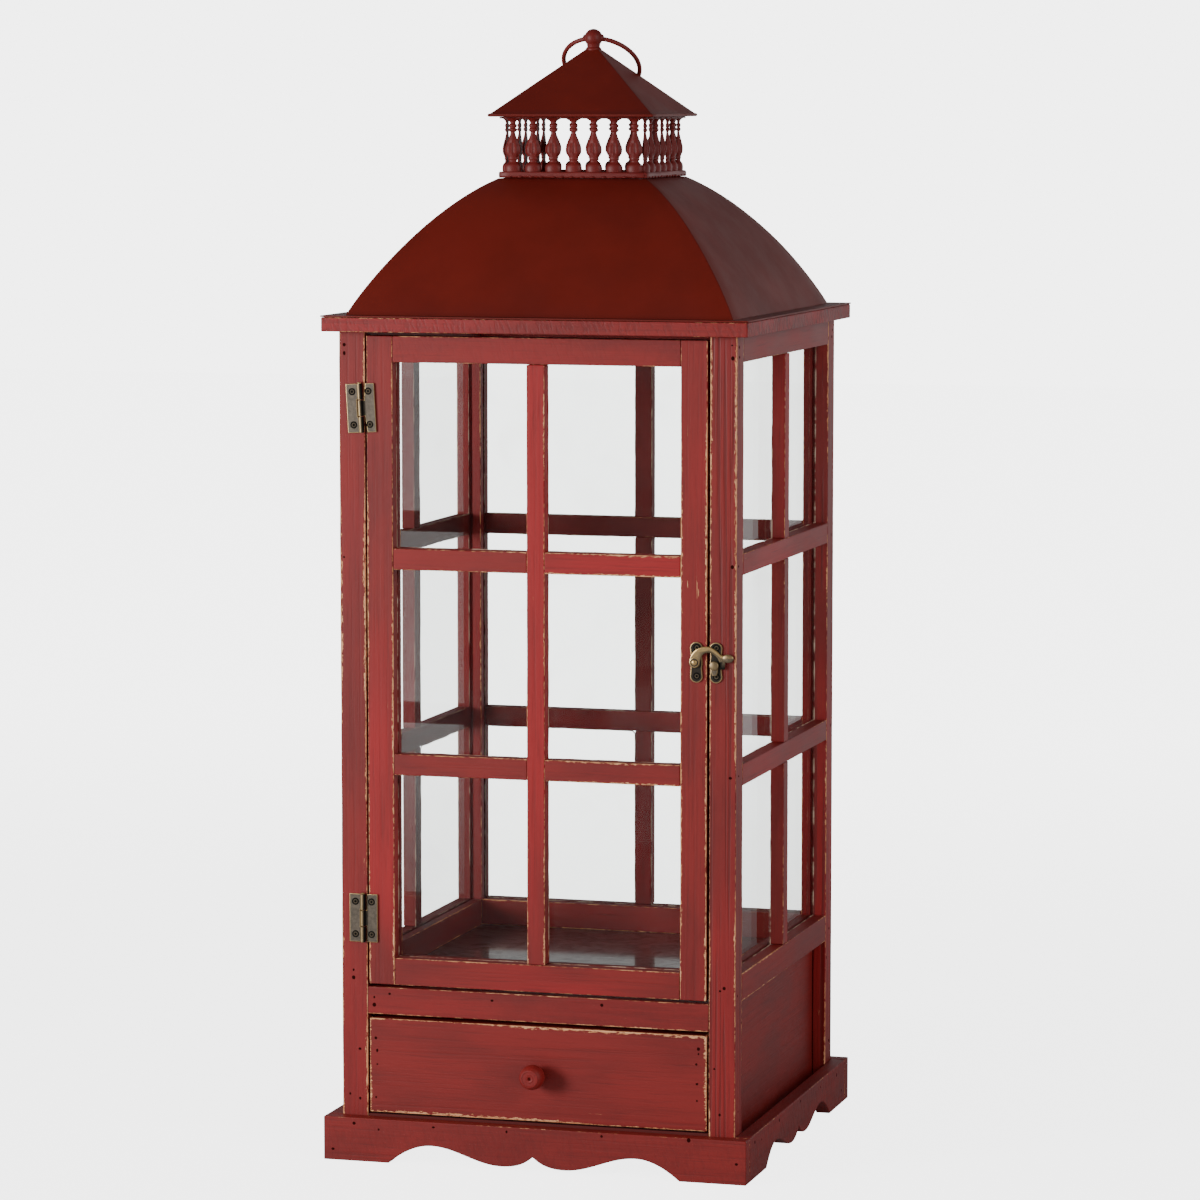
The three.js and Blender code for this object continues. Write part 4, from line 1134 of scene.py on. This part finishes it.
def barrel(low, high, bore, steps=28):
    """A tube round the hinge's axis."""
    ease = 0.25
    outline = [(bore, low), (KNUCKLE - ease, low), (KNUCKLE, low + ease),
               (KNUCKLE, high - ease), (KNUCKLE - ease, high), (bore, high)]
    points = [(r * math.cos(a), r * math.sin(a), z) for r, z in outline
              for a in (2 * math.pi * j / steps for j in range(steps))]
    faces = []
    for i in range(len(outline)):
        for j in range(steps):
            k, up = (j + 1) % steps, (i + 1) % len(outline)
            faces.append((i * steps + j, i * steps + k, up * steps + k, up * steps + j))
    # A band on the barrel's left side is polished as a painted highlight, and its right half is
    # darkened as painted shade, black in the crease by the door's leaf.
    marks = [(0.2 + 0.5 * math.exp(-((x + 1.1) / 0.6) ** 2), min(1.0, max(0.0, x)))
             for x, _, _ in points]
    return points, faces, marks


def brass_mesh(name, *shapes, place=Matrix.Identity(4)):
    """One mesh from several fittings, with how rubbed and how dirty each point is, and where
    highlight and shade are painted on it.
    """
    points, faces, marks = [], [], []
    for more_points, more_faces, more_marks in shapes:
        faces += [tuple(len(points) + i for i in face) for face in more_faces]
        points += [tuple(p) for p in more_points]
        marks += more_marks
    made = bpy.data.meshes.new(name)
    made.from_pydata([tuple(place @ (Vector(p) * MM)) for p in points], [], faces)
    for i, label in enumerate(("polish", "soot_and_shade")):
        made.attributes.new(label, "FLOAT", "POINT").data.foreach_set(
            "value", np.array(marks, np.float32)[:, i].copy())
    return smooth(made, 40)


def countersunk_screws():
    """Small cross-headed screws that face -Y, one on each point, each turned its own way."""
    tree, given = geometry_tree("countersunk_screws", {
        "Head": "Float", "Seed": "Int", "Material": "Material"})
    head = given.outputs["Head"]

    def disc(radius, depth, back):
        shape = tree.node("GeometryNodeMeshCylinder", {
            "Vertices": 20, "Radius": tree.math("MULTIPLY", head, radius), "Depth": depth})
        return tree.node("GeometryNodeTransform", {
            "Geometry": shape, "Translation": (0, back, 0), "Rotation": (math.pi / 2, 0, 0)})

    def marked(shape, label, value):
        return tree.node("GeometryNodeStoreNamedAttribute", {
            "Geometry": shape, "Name": label, "Value": value}, data_type="FLOAT")

    def bar(long, wide):
        return tree.node("GeometryNodeMeshCube", {"Size": tree.node("ShaderNodeCombineXYZ", {
            0: tree.math("MULTIPLY", head, long), 1: 0.0004,
            2: tree.math("MULTIPLY", head, wide)})})

    # The black disc round each head is painted shade in the countersink, and the black cross is
    # painted shade in the recess of the head.
    countersink_shade = marked(disc(1.0, 0.0001, -0.00004), "soot_and_shade", 1.0)
    cap = marked(marked(disc(0.62, 0.0001, -0.00012), "polish", 0.1), "soot_and_shade", 0.45)
    slot = tree.node("GeometryNodeJoinGeometry")
    for long, wide in ((0.66, 0.36), (0.36, 0.66)):
        tree.tree.links.new(bar(long, wide).outputs[0], slot.inputs[0])
    slot = marked(tree.node("GeometryNodeTransform", {
        "Geometry": slot, "Translation": (0, -0.00002, 0)}), "soot_and_shade", 1.0)
    whole = tree.node("GeometryNodeJoinGeometry")
    for part in (countersink_shade, cap, slot):
        tree.tree.links.new(part.outputs[0], whole.inputs[0])
    turn = tree.node("FunctionNodeRandomValue", {"Min": 0.0, "Max": math.pi, "Seed":
                     given.outputs["Seed"]}, data_type="FLOAT")
    placed = tree.node("GeometryNodeInstanceOnPoints", {
        "Points": given.outputs["Geometry"], "Instance": whole,
        "Rotation": tree.node("ShaderNodeCombineXYZ", {1: turn.outputs[1]})})
    return end_geometry(tree, placed, given.outputs["Material"])


SCREW_TREE = countersunk_screws()


def dots(name, places):
    """A mesh of loose points, given in millimetres."""
    made = bpy.data.meshes.new(name)
    made.from_pydata([tuple(Vector(p) * MM) for p in places], [], [])
    return made


def screws(name, places, body, head=2.6, seed=1):
    """A group of screws on one body, at places in millimetres."""
    made = grown(SCREW_TREE, name, dots(name, places), Head=head * MM, Seed=seed,
                 Material=OLD_BRASS)
    return piece(name, made, body)


def leaf_outline(side, lean):
    """A hinge leaf: the post's is notched in the middle, and the door's at its two ends. The
    notches of a leaning hinge widen away from its middle, so that the open leaves stay clear."""
    step = KNUCKLE_HALF + (0.6 if side < 0 else 0.0)
    wide = [max(NOTCH, KNUCKLE + NOTCH_EASE + z * math.sin(2 * math.radians(lean)))
            for z in (LEAF_HALF, step)]
    near, ledge, far = (1.2, 1.2, wide[1]) if side < 0 else (*wide, 1.2)
    half = [(LEAF_REACH, LEAF_HALF), (near, LEAF_HALF), (ledge, step), (far, step)]
    right = half + [(x, -z) for x, z in reversed(half)]
    return right if side > 0 else [(-x, z) for x, z in reversed(right)]


for level, height, lean in (("upper", 538.5, 3), ("lower", 174.6, 0)):
    place = (Matrix.Translation(Vector((PIN_X, PIN_Y, height)) * MM)
             @ Matrix.Rotation(-math.radians(lean), 4, "Y"))
    face, back = KNUCKLE - LEAF, KNUCKLE
    third = KNUCKLE_HALF + 0.6
    post_leaf = brass_mesh(f"{level}_post_leaf",
                           stamped(leaf_outline(-1, lean), face, back, 0.25, 0.2),
                           barrel(-LEAF_HALF, -third, PIN), barrel(third, LEAF_HALF, PIN),
                           place=place)
    piece(f"{level}_hinge_post_leaf_brass", post_leaf, "frame", OLD_BRASS,
          [f"{level}_hinge_post_leaf"])
    door_leaf = brass_mesh(f"{level}_door_leaf",
                           stamped(leaf_outline(1, lean), face, back, 0.25, 0.2),
                           barrel(-KNUCKLE_HALF, KNUCKLE_HALF, BORE), place=place)
    piece(f"{level}_hinge_door_leaf_brass", door_leaf, "door", OLD_BRASS,
          [f"{level}_hinge_door_leaf"])
    stem = [(0, -LEAF_HALF - 0.3), (PIN - 0.1, -LEAF_HALF - 0.3), (PIN, -LEAF_HALF),
            (PIN, LEAF_HALF + 0.2), (1.4, LEAF_HALF + 0.25), (1.4, LEAF_HALF + 0.7),
            (1.0, LEAF_HALF + 1.05), (0, LEAF_HALF + 1.2)]
    pin = brass_mesh(f"{level}_pin", fitting(turned(stem, lambda x, y, h: (x, y, h), 20), 0.6),
                     place=place)
    piece(f"{level}_hinge_pin_brass", pin, "frame", OLD_BRASS,
          [f"{level}_hinge_pin"])
    for side, body in ((-1, "frame"), (1, "door")):
        spots = [place @ (Vector((side * 6.0, face, up)) * MM) / MM for up in (-11.7, 11.8)]
        screws(f"{level}_hinge_{body}_screws", spots, body, seed=int(height))

# ---- Hook latch ------------------------------------------------------------------------
# A swing hook of the same dark brass. Its plate is screwed to the door and its stud's plate to
# the post, and the hook turns on a domed rivet and drops over the stud.

RIVET = np.array([115.7, 366.0])
STUD = RIVET + (14.2, -1.9)
PLATE_BACK, PLATE_FACE = -145.3, -146.3
HOOK_BACK, HOOK_FACE = -146.6, -148.0
SHANK = -145.8  # the back of the rivet and of the stud, inside their plates
STUD_RADIUS, HOOK_EYE, HOOK_WIDTH = 3.3, 4.0, 3.3
RIVET_FACE, STUD_FACE = -149.4, -149.7
TONGUE_BACK, TONGUE_FACE = -146.1, -147.9  # of the tab below the stud
DROP = 3.0  # how far right of the stud's centre the hook's drop begins
TAB = 3.3  # the radius of the swelling that the thumb lifts
TAB_X, TAB_Z = RIVET + (24.0, 3.4)
TAB_WIDE, TAB_TALL = 1.25, 0.9  # how much it is stretched across and flattened upward


def lobed_plate(x, z, half=4.6, height=14.25):
    """A plate with two round ends and a pinch by each of them, about a centre."""
    outline = []
    for i in range(48):
        a = 2 * math.pi * i / 48
        across, up = half * math.cos(a), height - half
        lobe = up * (1 if math.sin(a) > 0 else -1) if abs(math.cos(a)) < 0.999 else 0
        outline.append((x + across, z + lobe + half * math.sin(a)))
    waist = [(0.86, -0.30), (0.93, -0.1), (0.93, 0.1), (0.86, 0.30)]
    right = [(x + half * w, z + height * h) for w, h in waist]
    left = [(x - half * w, z - height * h) for w, h in waist]
    top = [p for p in outline if p[1] > z + height - half + 0.01]
    bottom = [p for p in outline if p[1] < z - height + half - 0.01]
    return right + top + left + bottom


def rounded_disc(x, z, back, face, radius, dome, **marks):
    """A stud or a rivet head with a domed face."""
    arc = [(radius * math.cos(a), -face - dome + dome * math.sin(a))
           for a in np.linspace(0, math.pi / 2, 7)]
    profile = [(0, -back), (radius, -back), *arc[:-1], (0, -face)]
    return fitting(turned(profile, lambda u, v, h: (x + u, -h, z - v), 28), **marks)


def hook_outline():
    """The hook's arm about its rivet: round the eye, over the stud, and out to a thumb tab."""
    a, inner = 14.2, STUD_RADIUS + 0.7
    outer, tab = inner + HOOK_WIDTH, 26.5
    drop = -4.4
    line = [(-HOOK_EYE, 0.0)]
    for handles in (((-3.4, 6), (0.1 * a, 11.4), (0.6 * a, 11.4)),
                    ((0.88 * a, 11.4), (1.13 * a, 8.8), (1.31 * a, 5.9)),
                    ((1.44 * a, 4.9), (24.5, 6.2), (tab, 5.2)),
                    ((28.5, 3.6), (tab, 0.6), (a + outer + 0.6, 1))):
        line += [tuple(p) for p in curve(line[-1], *handles, steps=10)]
    line += [(a + outer, drop), (a + inner, drop), (a + inner, -1.9)]
    line += [tuple(p) for p in curve(line[-1], (a + inner, 3.2), (a, 6.8), (0.67 * a, 7))]
    line += [tuple(p) for p in curve(line[-1], (0.46 * a, 7), (4.4, 4.5), (HOOK_EYE, 0))]
    line += [(HOOK_EYE * math.cos(t), HOOK_EYE * math.sin(t))
             for t in np.linspace(0, -math.pi, 14)[1:-1]]
    return [(RIVET[0] + x, RIVET[1] + z) for x, z in reversed(line)]


latch_plate = stamped(lobed_plate(RIVET[0] + 1, RIVET[1]), PLATE_FACE, PLATE_BACK, 0.3, 0.35, 0.35,
                      polish=0.6, soot_and_shade=0.7)
rivet = rounded_disc(*RIVET, SHANK, RIVET_FACE + 0.1, 1.1, 0.5, polish=0.3)
rivet_head = rounded_disc(*RIVET, HOOK_FACE - 0.15, RIVET_FACE, 2.1, 0.95, polish=0.8)
piece("latch_plate_brass", brass_mesh("latch_plate", latch_plate, rivet, rivet_head), "door",
      OLD_BRASS, ["latch_plate"])
keeper = stamped(lobed_plate(STUD[0] + 0.9, RIVET[1]), PLATE_FACE, PLATE_BACK, 0.3, 0.35, 0.35,
                 polish=0.6, soot_and_shade=0.7)
stud = rounded_disc(*STUD, SHANK, STUD_FACE, STUD_RADIUS, 0.9, polish=0.3)
tongue_outline = [(STUD[0] + x, STUD[1] + z) for x, z in
                  [(-2.6, 0), (-2.3, -4.5), (-1.6, -7.2), (1.6, -7.2), (2.6, -4.5), (2.8, 0)]]
tongue = stamped(tongue_outline, TONGUE_FACE, TONGUE_BACK, 0.6, 0.3, polish=0.3, face=0.15)
piece("keeper_plate_brass", brass_mesh("keeper_plate", keeper, stud, tongue), "frame",
      OLD_BRASS, ["keeper_plate"])
# lit paints a highlight along the arm's upper edges and shade along its lower ones.
arm = stamped(hook_outline(), HOOK_FACE, HOOK_BACK, 0.7, 0.2, polish=0.3, lit=0.9, face=0.7)
for i, (x, _, z) in enumerate(arm[0]):
    if x > STUD[0] + DROP and z < RIVET[1] + 0.5:  # dark where the stud shades it
        arm[2][i] = (0.0, 0.95)
tab = turned([(TAB * math.sin(a), -math.cos(a)) for a in np.linspace(0, math.pi, 11)],
             lambda u, v, h: (TAB_X + TAB_WIDE * u, HOOK_FACE + 0.1 - h, TAB_Z - TAB_TALL * v), 28)
# The tab's upper half is polished more than its lower half: a painted highlight.
tab = (tab[0], tab[1], [(0.45 if z > TAB_Z else 0.1, 0.0) for _, _, z in tab[0]])
washer = stamped([(RIVET[0] + 3.5 * math.cos(t), RIVET[1] + 3.5 * math.sin(t))
                  for t in np.linspace(0, 2 * math.pi, 29)[:-1]], HOOK_FACE - 0.15, -147.6,
                 0.3, 0.3, 0.1, polish=0.8, soot_and_shade=0.3)
piece("latch_hook_brass", brass_mesh("latch_hook", arm, tab, washer), "hook",
      OLD_BRASS, ["latch_hook"])
screws("latch_door_screws", [(RIVET[0] + 1.3, PLATE_FACE + 0.3, RIVET[1] + up)
                             for up in (10.4, -9.6)], "door", head=2.5, seed=3)
screws("latch_frame_screws", [(STUD[0] + 1.2, PLATE_FACE + 0.3, RIVET[1] + up)
                              for up in (10.4, -9.8)], "frame", head=2.5, seed=4)

# ---- Nails and putty -------------------------------------------------------------------
# The boards are pinned with small brads, set just below the paint, and the panes are bedded in
# cream putty that shows as an uneven line round each opening. The putty's cream also stands in
# for the glint along the panes' edges: a painted highlight.


def brad_holes():
    """Shallow dark dimples on points that carry the direction they face."""
    tree, given = geometry_tree("brad_holes", {
        "Size": "Float", "Seed": "Int", "Material": "Material"})
    dimple = tree.node("GeometryNodeMeshUVSphere", {"Segments": 12, "Rings": 6, "Radius": 1.0})
    facing = tree.node("GeometryNodeInputNamedAttribute", {"Name": "facing"},
                       data_type="FLOAT_VECTOR")
    turn = tree.node("FunctionNodeAlignEulerToVector", {"Vector": facing.outputs[0]}, axis="Z")
    bulk = tree.node("FunctionNodeRandomValue", {"Min": 0.6, "Max": 1.2, "Seed":
                     given.outputs["Seed"]}, data_type="FLOAT")
    across = tree.math("MULTIPLY", given.outputs["Size"], bulk.outputs[1])
    squash = tree.node("FunctionNodeRandomValue", {"Min": 0.55, "Max": 1.5, "Seed": 5},
                       data_type="FLOAT")
    scale = tree.node("ShaderNodeCombineXYZ", {
        0: across, 1: tree.math("MULTIPLY", across, squash.outputs[1]), 2: 0.00012})
    placed = tree.node("GeometryNodeInstanceOnPoints", {
        "Points": given.outputs["Geometry"], "Instance": dimple, "Rotation": turn,
        "Scale": scale})
    return end_geometry(tree, placed, given.outputs["Material"])


def old_brad():
    """The dark of a nail hole with old paint in it."""
    material, tree = material_tree("old_brad")
    place = tree.node("ShaderNodeTexCoord").outputs["Object"]
    tone = tree.mix(tree.noise(place, 900, 3), colour(34, 6, 5), colour(60, 13, 10))
    close_material(tree, tree.node("ShaderNodeBsdfPrincipled", {
        "Base Color": tone, "Roughness": 0.9, "Specular IOR Level": 0.05}))
    return material


OLD_BRAD = old_brad()
BRAD_TREE = brad_holes()
FRONT, APRON_FACE = -145.0, -156.0
post_nails = [(-141, 583), (-141, 577), (-142, 432.5), (-136.5, 136.5), (-136.5, 131),
              (-139.5, 46.5), (-132, 43.5), (-132, 79.5), (-121, 117.5), (-121, 112),
              (-109.5, 120.5), (-33, 119.5), (48, 120.5), (141.5, 586.5), (142, 577.5),
              (142, 433), (141, 285.5), (134, 135), (137, 137), (130, 79.5), (134, 47)]
drawer_nails = [(-120, 88), (-119, 79), (-119, 69), (-120, 45), (118.5, 93), (118.5, 89.5),
                (117, 82), (117.5, 68), (117.5, 56)]
apron_nails = [(-133, 27.5), (-114.5, 24), (-149, 8), (-73.5, 28), (-19, 28), (51, 29),
               (114.5, 30), (149, 15)]
side_nails = [(-139, 585), (-138, 578), (-139, 433), (-137, 286), (-139, 131), (-136, 48),
              (139, 584), (137, 579), (138, 431), (140, 287), (137, 133), (138, 47),
              (-128, 110), (129, 112)]
side_apron_nails = [(-131, 26), (-112, 24), (-60, 27), (4, 28), (66, 26), (118, 25), (134, 10)]


def brads(name, spots, body, size=0.8, seed=7):
    """spots holds (place, direction) pairs, in millimetres."""
    base = dots(name, [place for place, _ in spots])
    base.attributes.new("facing", "FLOAT_VECTOR", "POINT").data.foreach_set(
        "vector", np.array([way for _, way in spots], np.float32).ravel())
    made = grown(BRAD_TREE, name, base, Size=size * MM, Seed=seed, Material=OLD_BRAD)
    piece(name, smooth(made), body)


frame_spots = [((x, FRONT, z), (0, -1, 0)) for x, z in post_nails]
frame_spots += [((x, APRON_FACE, z), (0, -1, 0)) for x, z in apron_nails]
for sign in (-1, 1):
    frame_spots += [((sign * -FRONT, y, z), (sign, 0, 0)) for y, z in side_nails]
    frame_spots += [((sign * -APRON_FACE, y, z), (sign, 0, 0)) for y, z in side_apron_nails]
frame_spots += [((x, -FRONT, z), (0, 1, 0)) for x, z in side_nails]
frame_spots += [((x, -APRON_FACE, z), (0, 1, 0)) for x, z in side_apron_nails]
brads("frame_brads", frame_spots, "frame", 1.15)
brads("drawer_brads", [((x, FRONT, z), (0, -1, 0)) for x, z in drawer_nails], "drawer", 1.0)


def putty_glint_beads():
    """A thin uneven bead along each edge of a wire mesh."""
    tree, given = geometry_tree("putty_glint_beads", {
        "Width": "Float", "Seed": "Float", "Material": "Material"})
    line = tree.node("GeometryNodeMeshToCurve", {"Mesh": given.outputs["Geometry"]})
    fine = tree.node("GeometryNodeResampleCurve", {"Curve": line, "Length": 0.004},
                     mode="LENGTH")
    lump = tree.node("ShaderNodeTexNoise", {"Vector": tree.vector("ADD", tree.node(
        "GeometryNodeInputPosition"), tree.node("ShaderNodeCombineXYZ", {
            0: given.outputs["Seed"]})), "Scale": 60.0, "Detail": 3.0})
    width = tree.math("MULTIPLY", given.outputs["Width"], tree.ramp(lump.outputs[0], 0.3, 0.7,
                      0.25, 1.0))
    round_line = tree.node("GeometryNodeCurvePrimitiveCircle", {"Resolution": 6, "Radius": 1.0})
    bead = tree.node("GeometryNodeCurveToMesh", {
        "Curve": fine, "Profile Curve": round_line, "Scale": width, "Fill Caps": True})
    return end_geometry(tree, bead, given.outputs["Material"])


def old_putty():
    """Cream putty with red paint dragged over it. The cream also paints the glint along the panes'
    edges.
    """
    material, tree = material_tree("old_putty")
    place = tree.node("ShaderNodeTexCoord").outputs["Object"]
    cover = tree.ramp(tree.noise(place, 90, 4, 0.6), 0.42, 0.58)
    tone = tree.mix(cover, colour(204, 172, 150), colour(120, 42, 36))
    close_material(tree, tree.node("ShaderNodeBsdfPrincipled", {
        "Base Color": tone, "Roughness": 0.7}))
    return material


PUTTY_PAINTED_GLINT = old_putty()
PUTTY_GLINT_TREE = putty_glint_beads()
DEPTH = 9.6  # of the putty line behind the wood's outer face
SEAM = 0.3  # between a lattice and the wood round it


def openings(half, low, high):
    """The six panes' corners as (run, height), between the muntins."""
    pane = (high - low - 2 * MUNTIN_HEIGHT) / 3
    for row in range(3):
        foot = low + row * (pane + MUNTIN_HEIGHT)
        for near, far in ((-half, -MUNTIN_WIDTH / 2), (MUNTIN_WIDTH / 2, half)):
            yield [(near, foot), (far, foot), (far, foot + pane), (near, foot + pane)]


def bed_panes(name, body, half, low, high, middle, place):
    """Runs putty, with its painted glint, round a wall's panes. place gives a corner's (x, y, z).
    """
    points, edges = [], []
    for corners in openings(half, low, high):
        edges += [(len(points) + i, len(points) + (i + 1) % 4) for i in range(4)]
        points += [place(middle + run, up) for run, up in corners]
    base = bpy.data.meshes.new(name)
    base.from_pydata([tuple(Vector(p) * MM) for p in points], edges, [])
    made = grown(PUTTY_GLINT_TREE, name, base, Width=0.5 * MM, Seed=float(len(name)),
                 Material=PUTTY_PAINTED_GLINT)
    piece(name, smooth(made), body)


depth = -FRONT - DEPTH
for side, body, place in (
        ("left", "frame", lambda u, z: (-depth, u, z)),
        ("right", "frame", lambda u, z: (depth, u, z)),
        ("back", "frame", lambda u, z: (u, depth, z)),
        ("door", "door", lambda u, z: (u, -depth, z))):
    low, high = box_mm(f"{side}_muntins")
    run = Y if side in ("left", "right") else X
    bed_panes(f"{side}_putty", body, (high[run] - low[run]) / 2 + SEAM, low[Z] - SEAM,
              high[Z] + SEAM, (low[run] + high[run]) / 2, place)
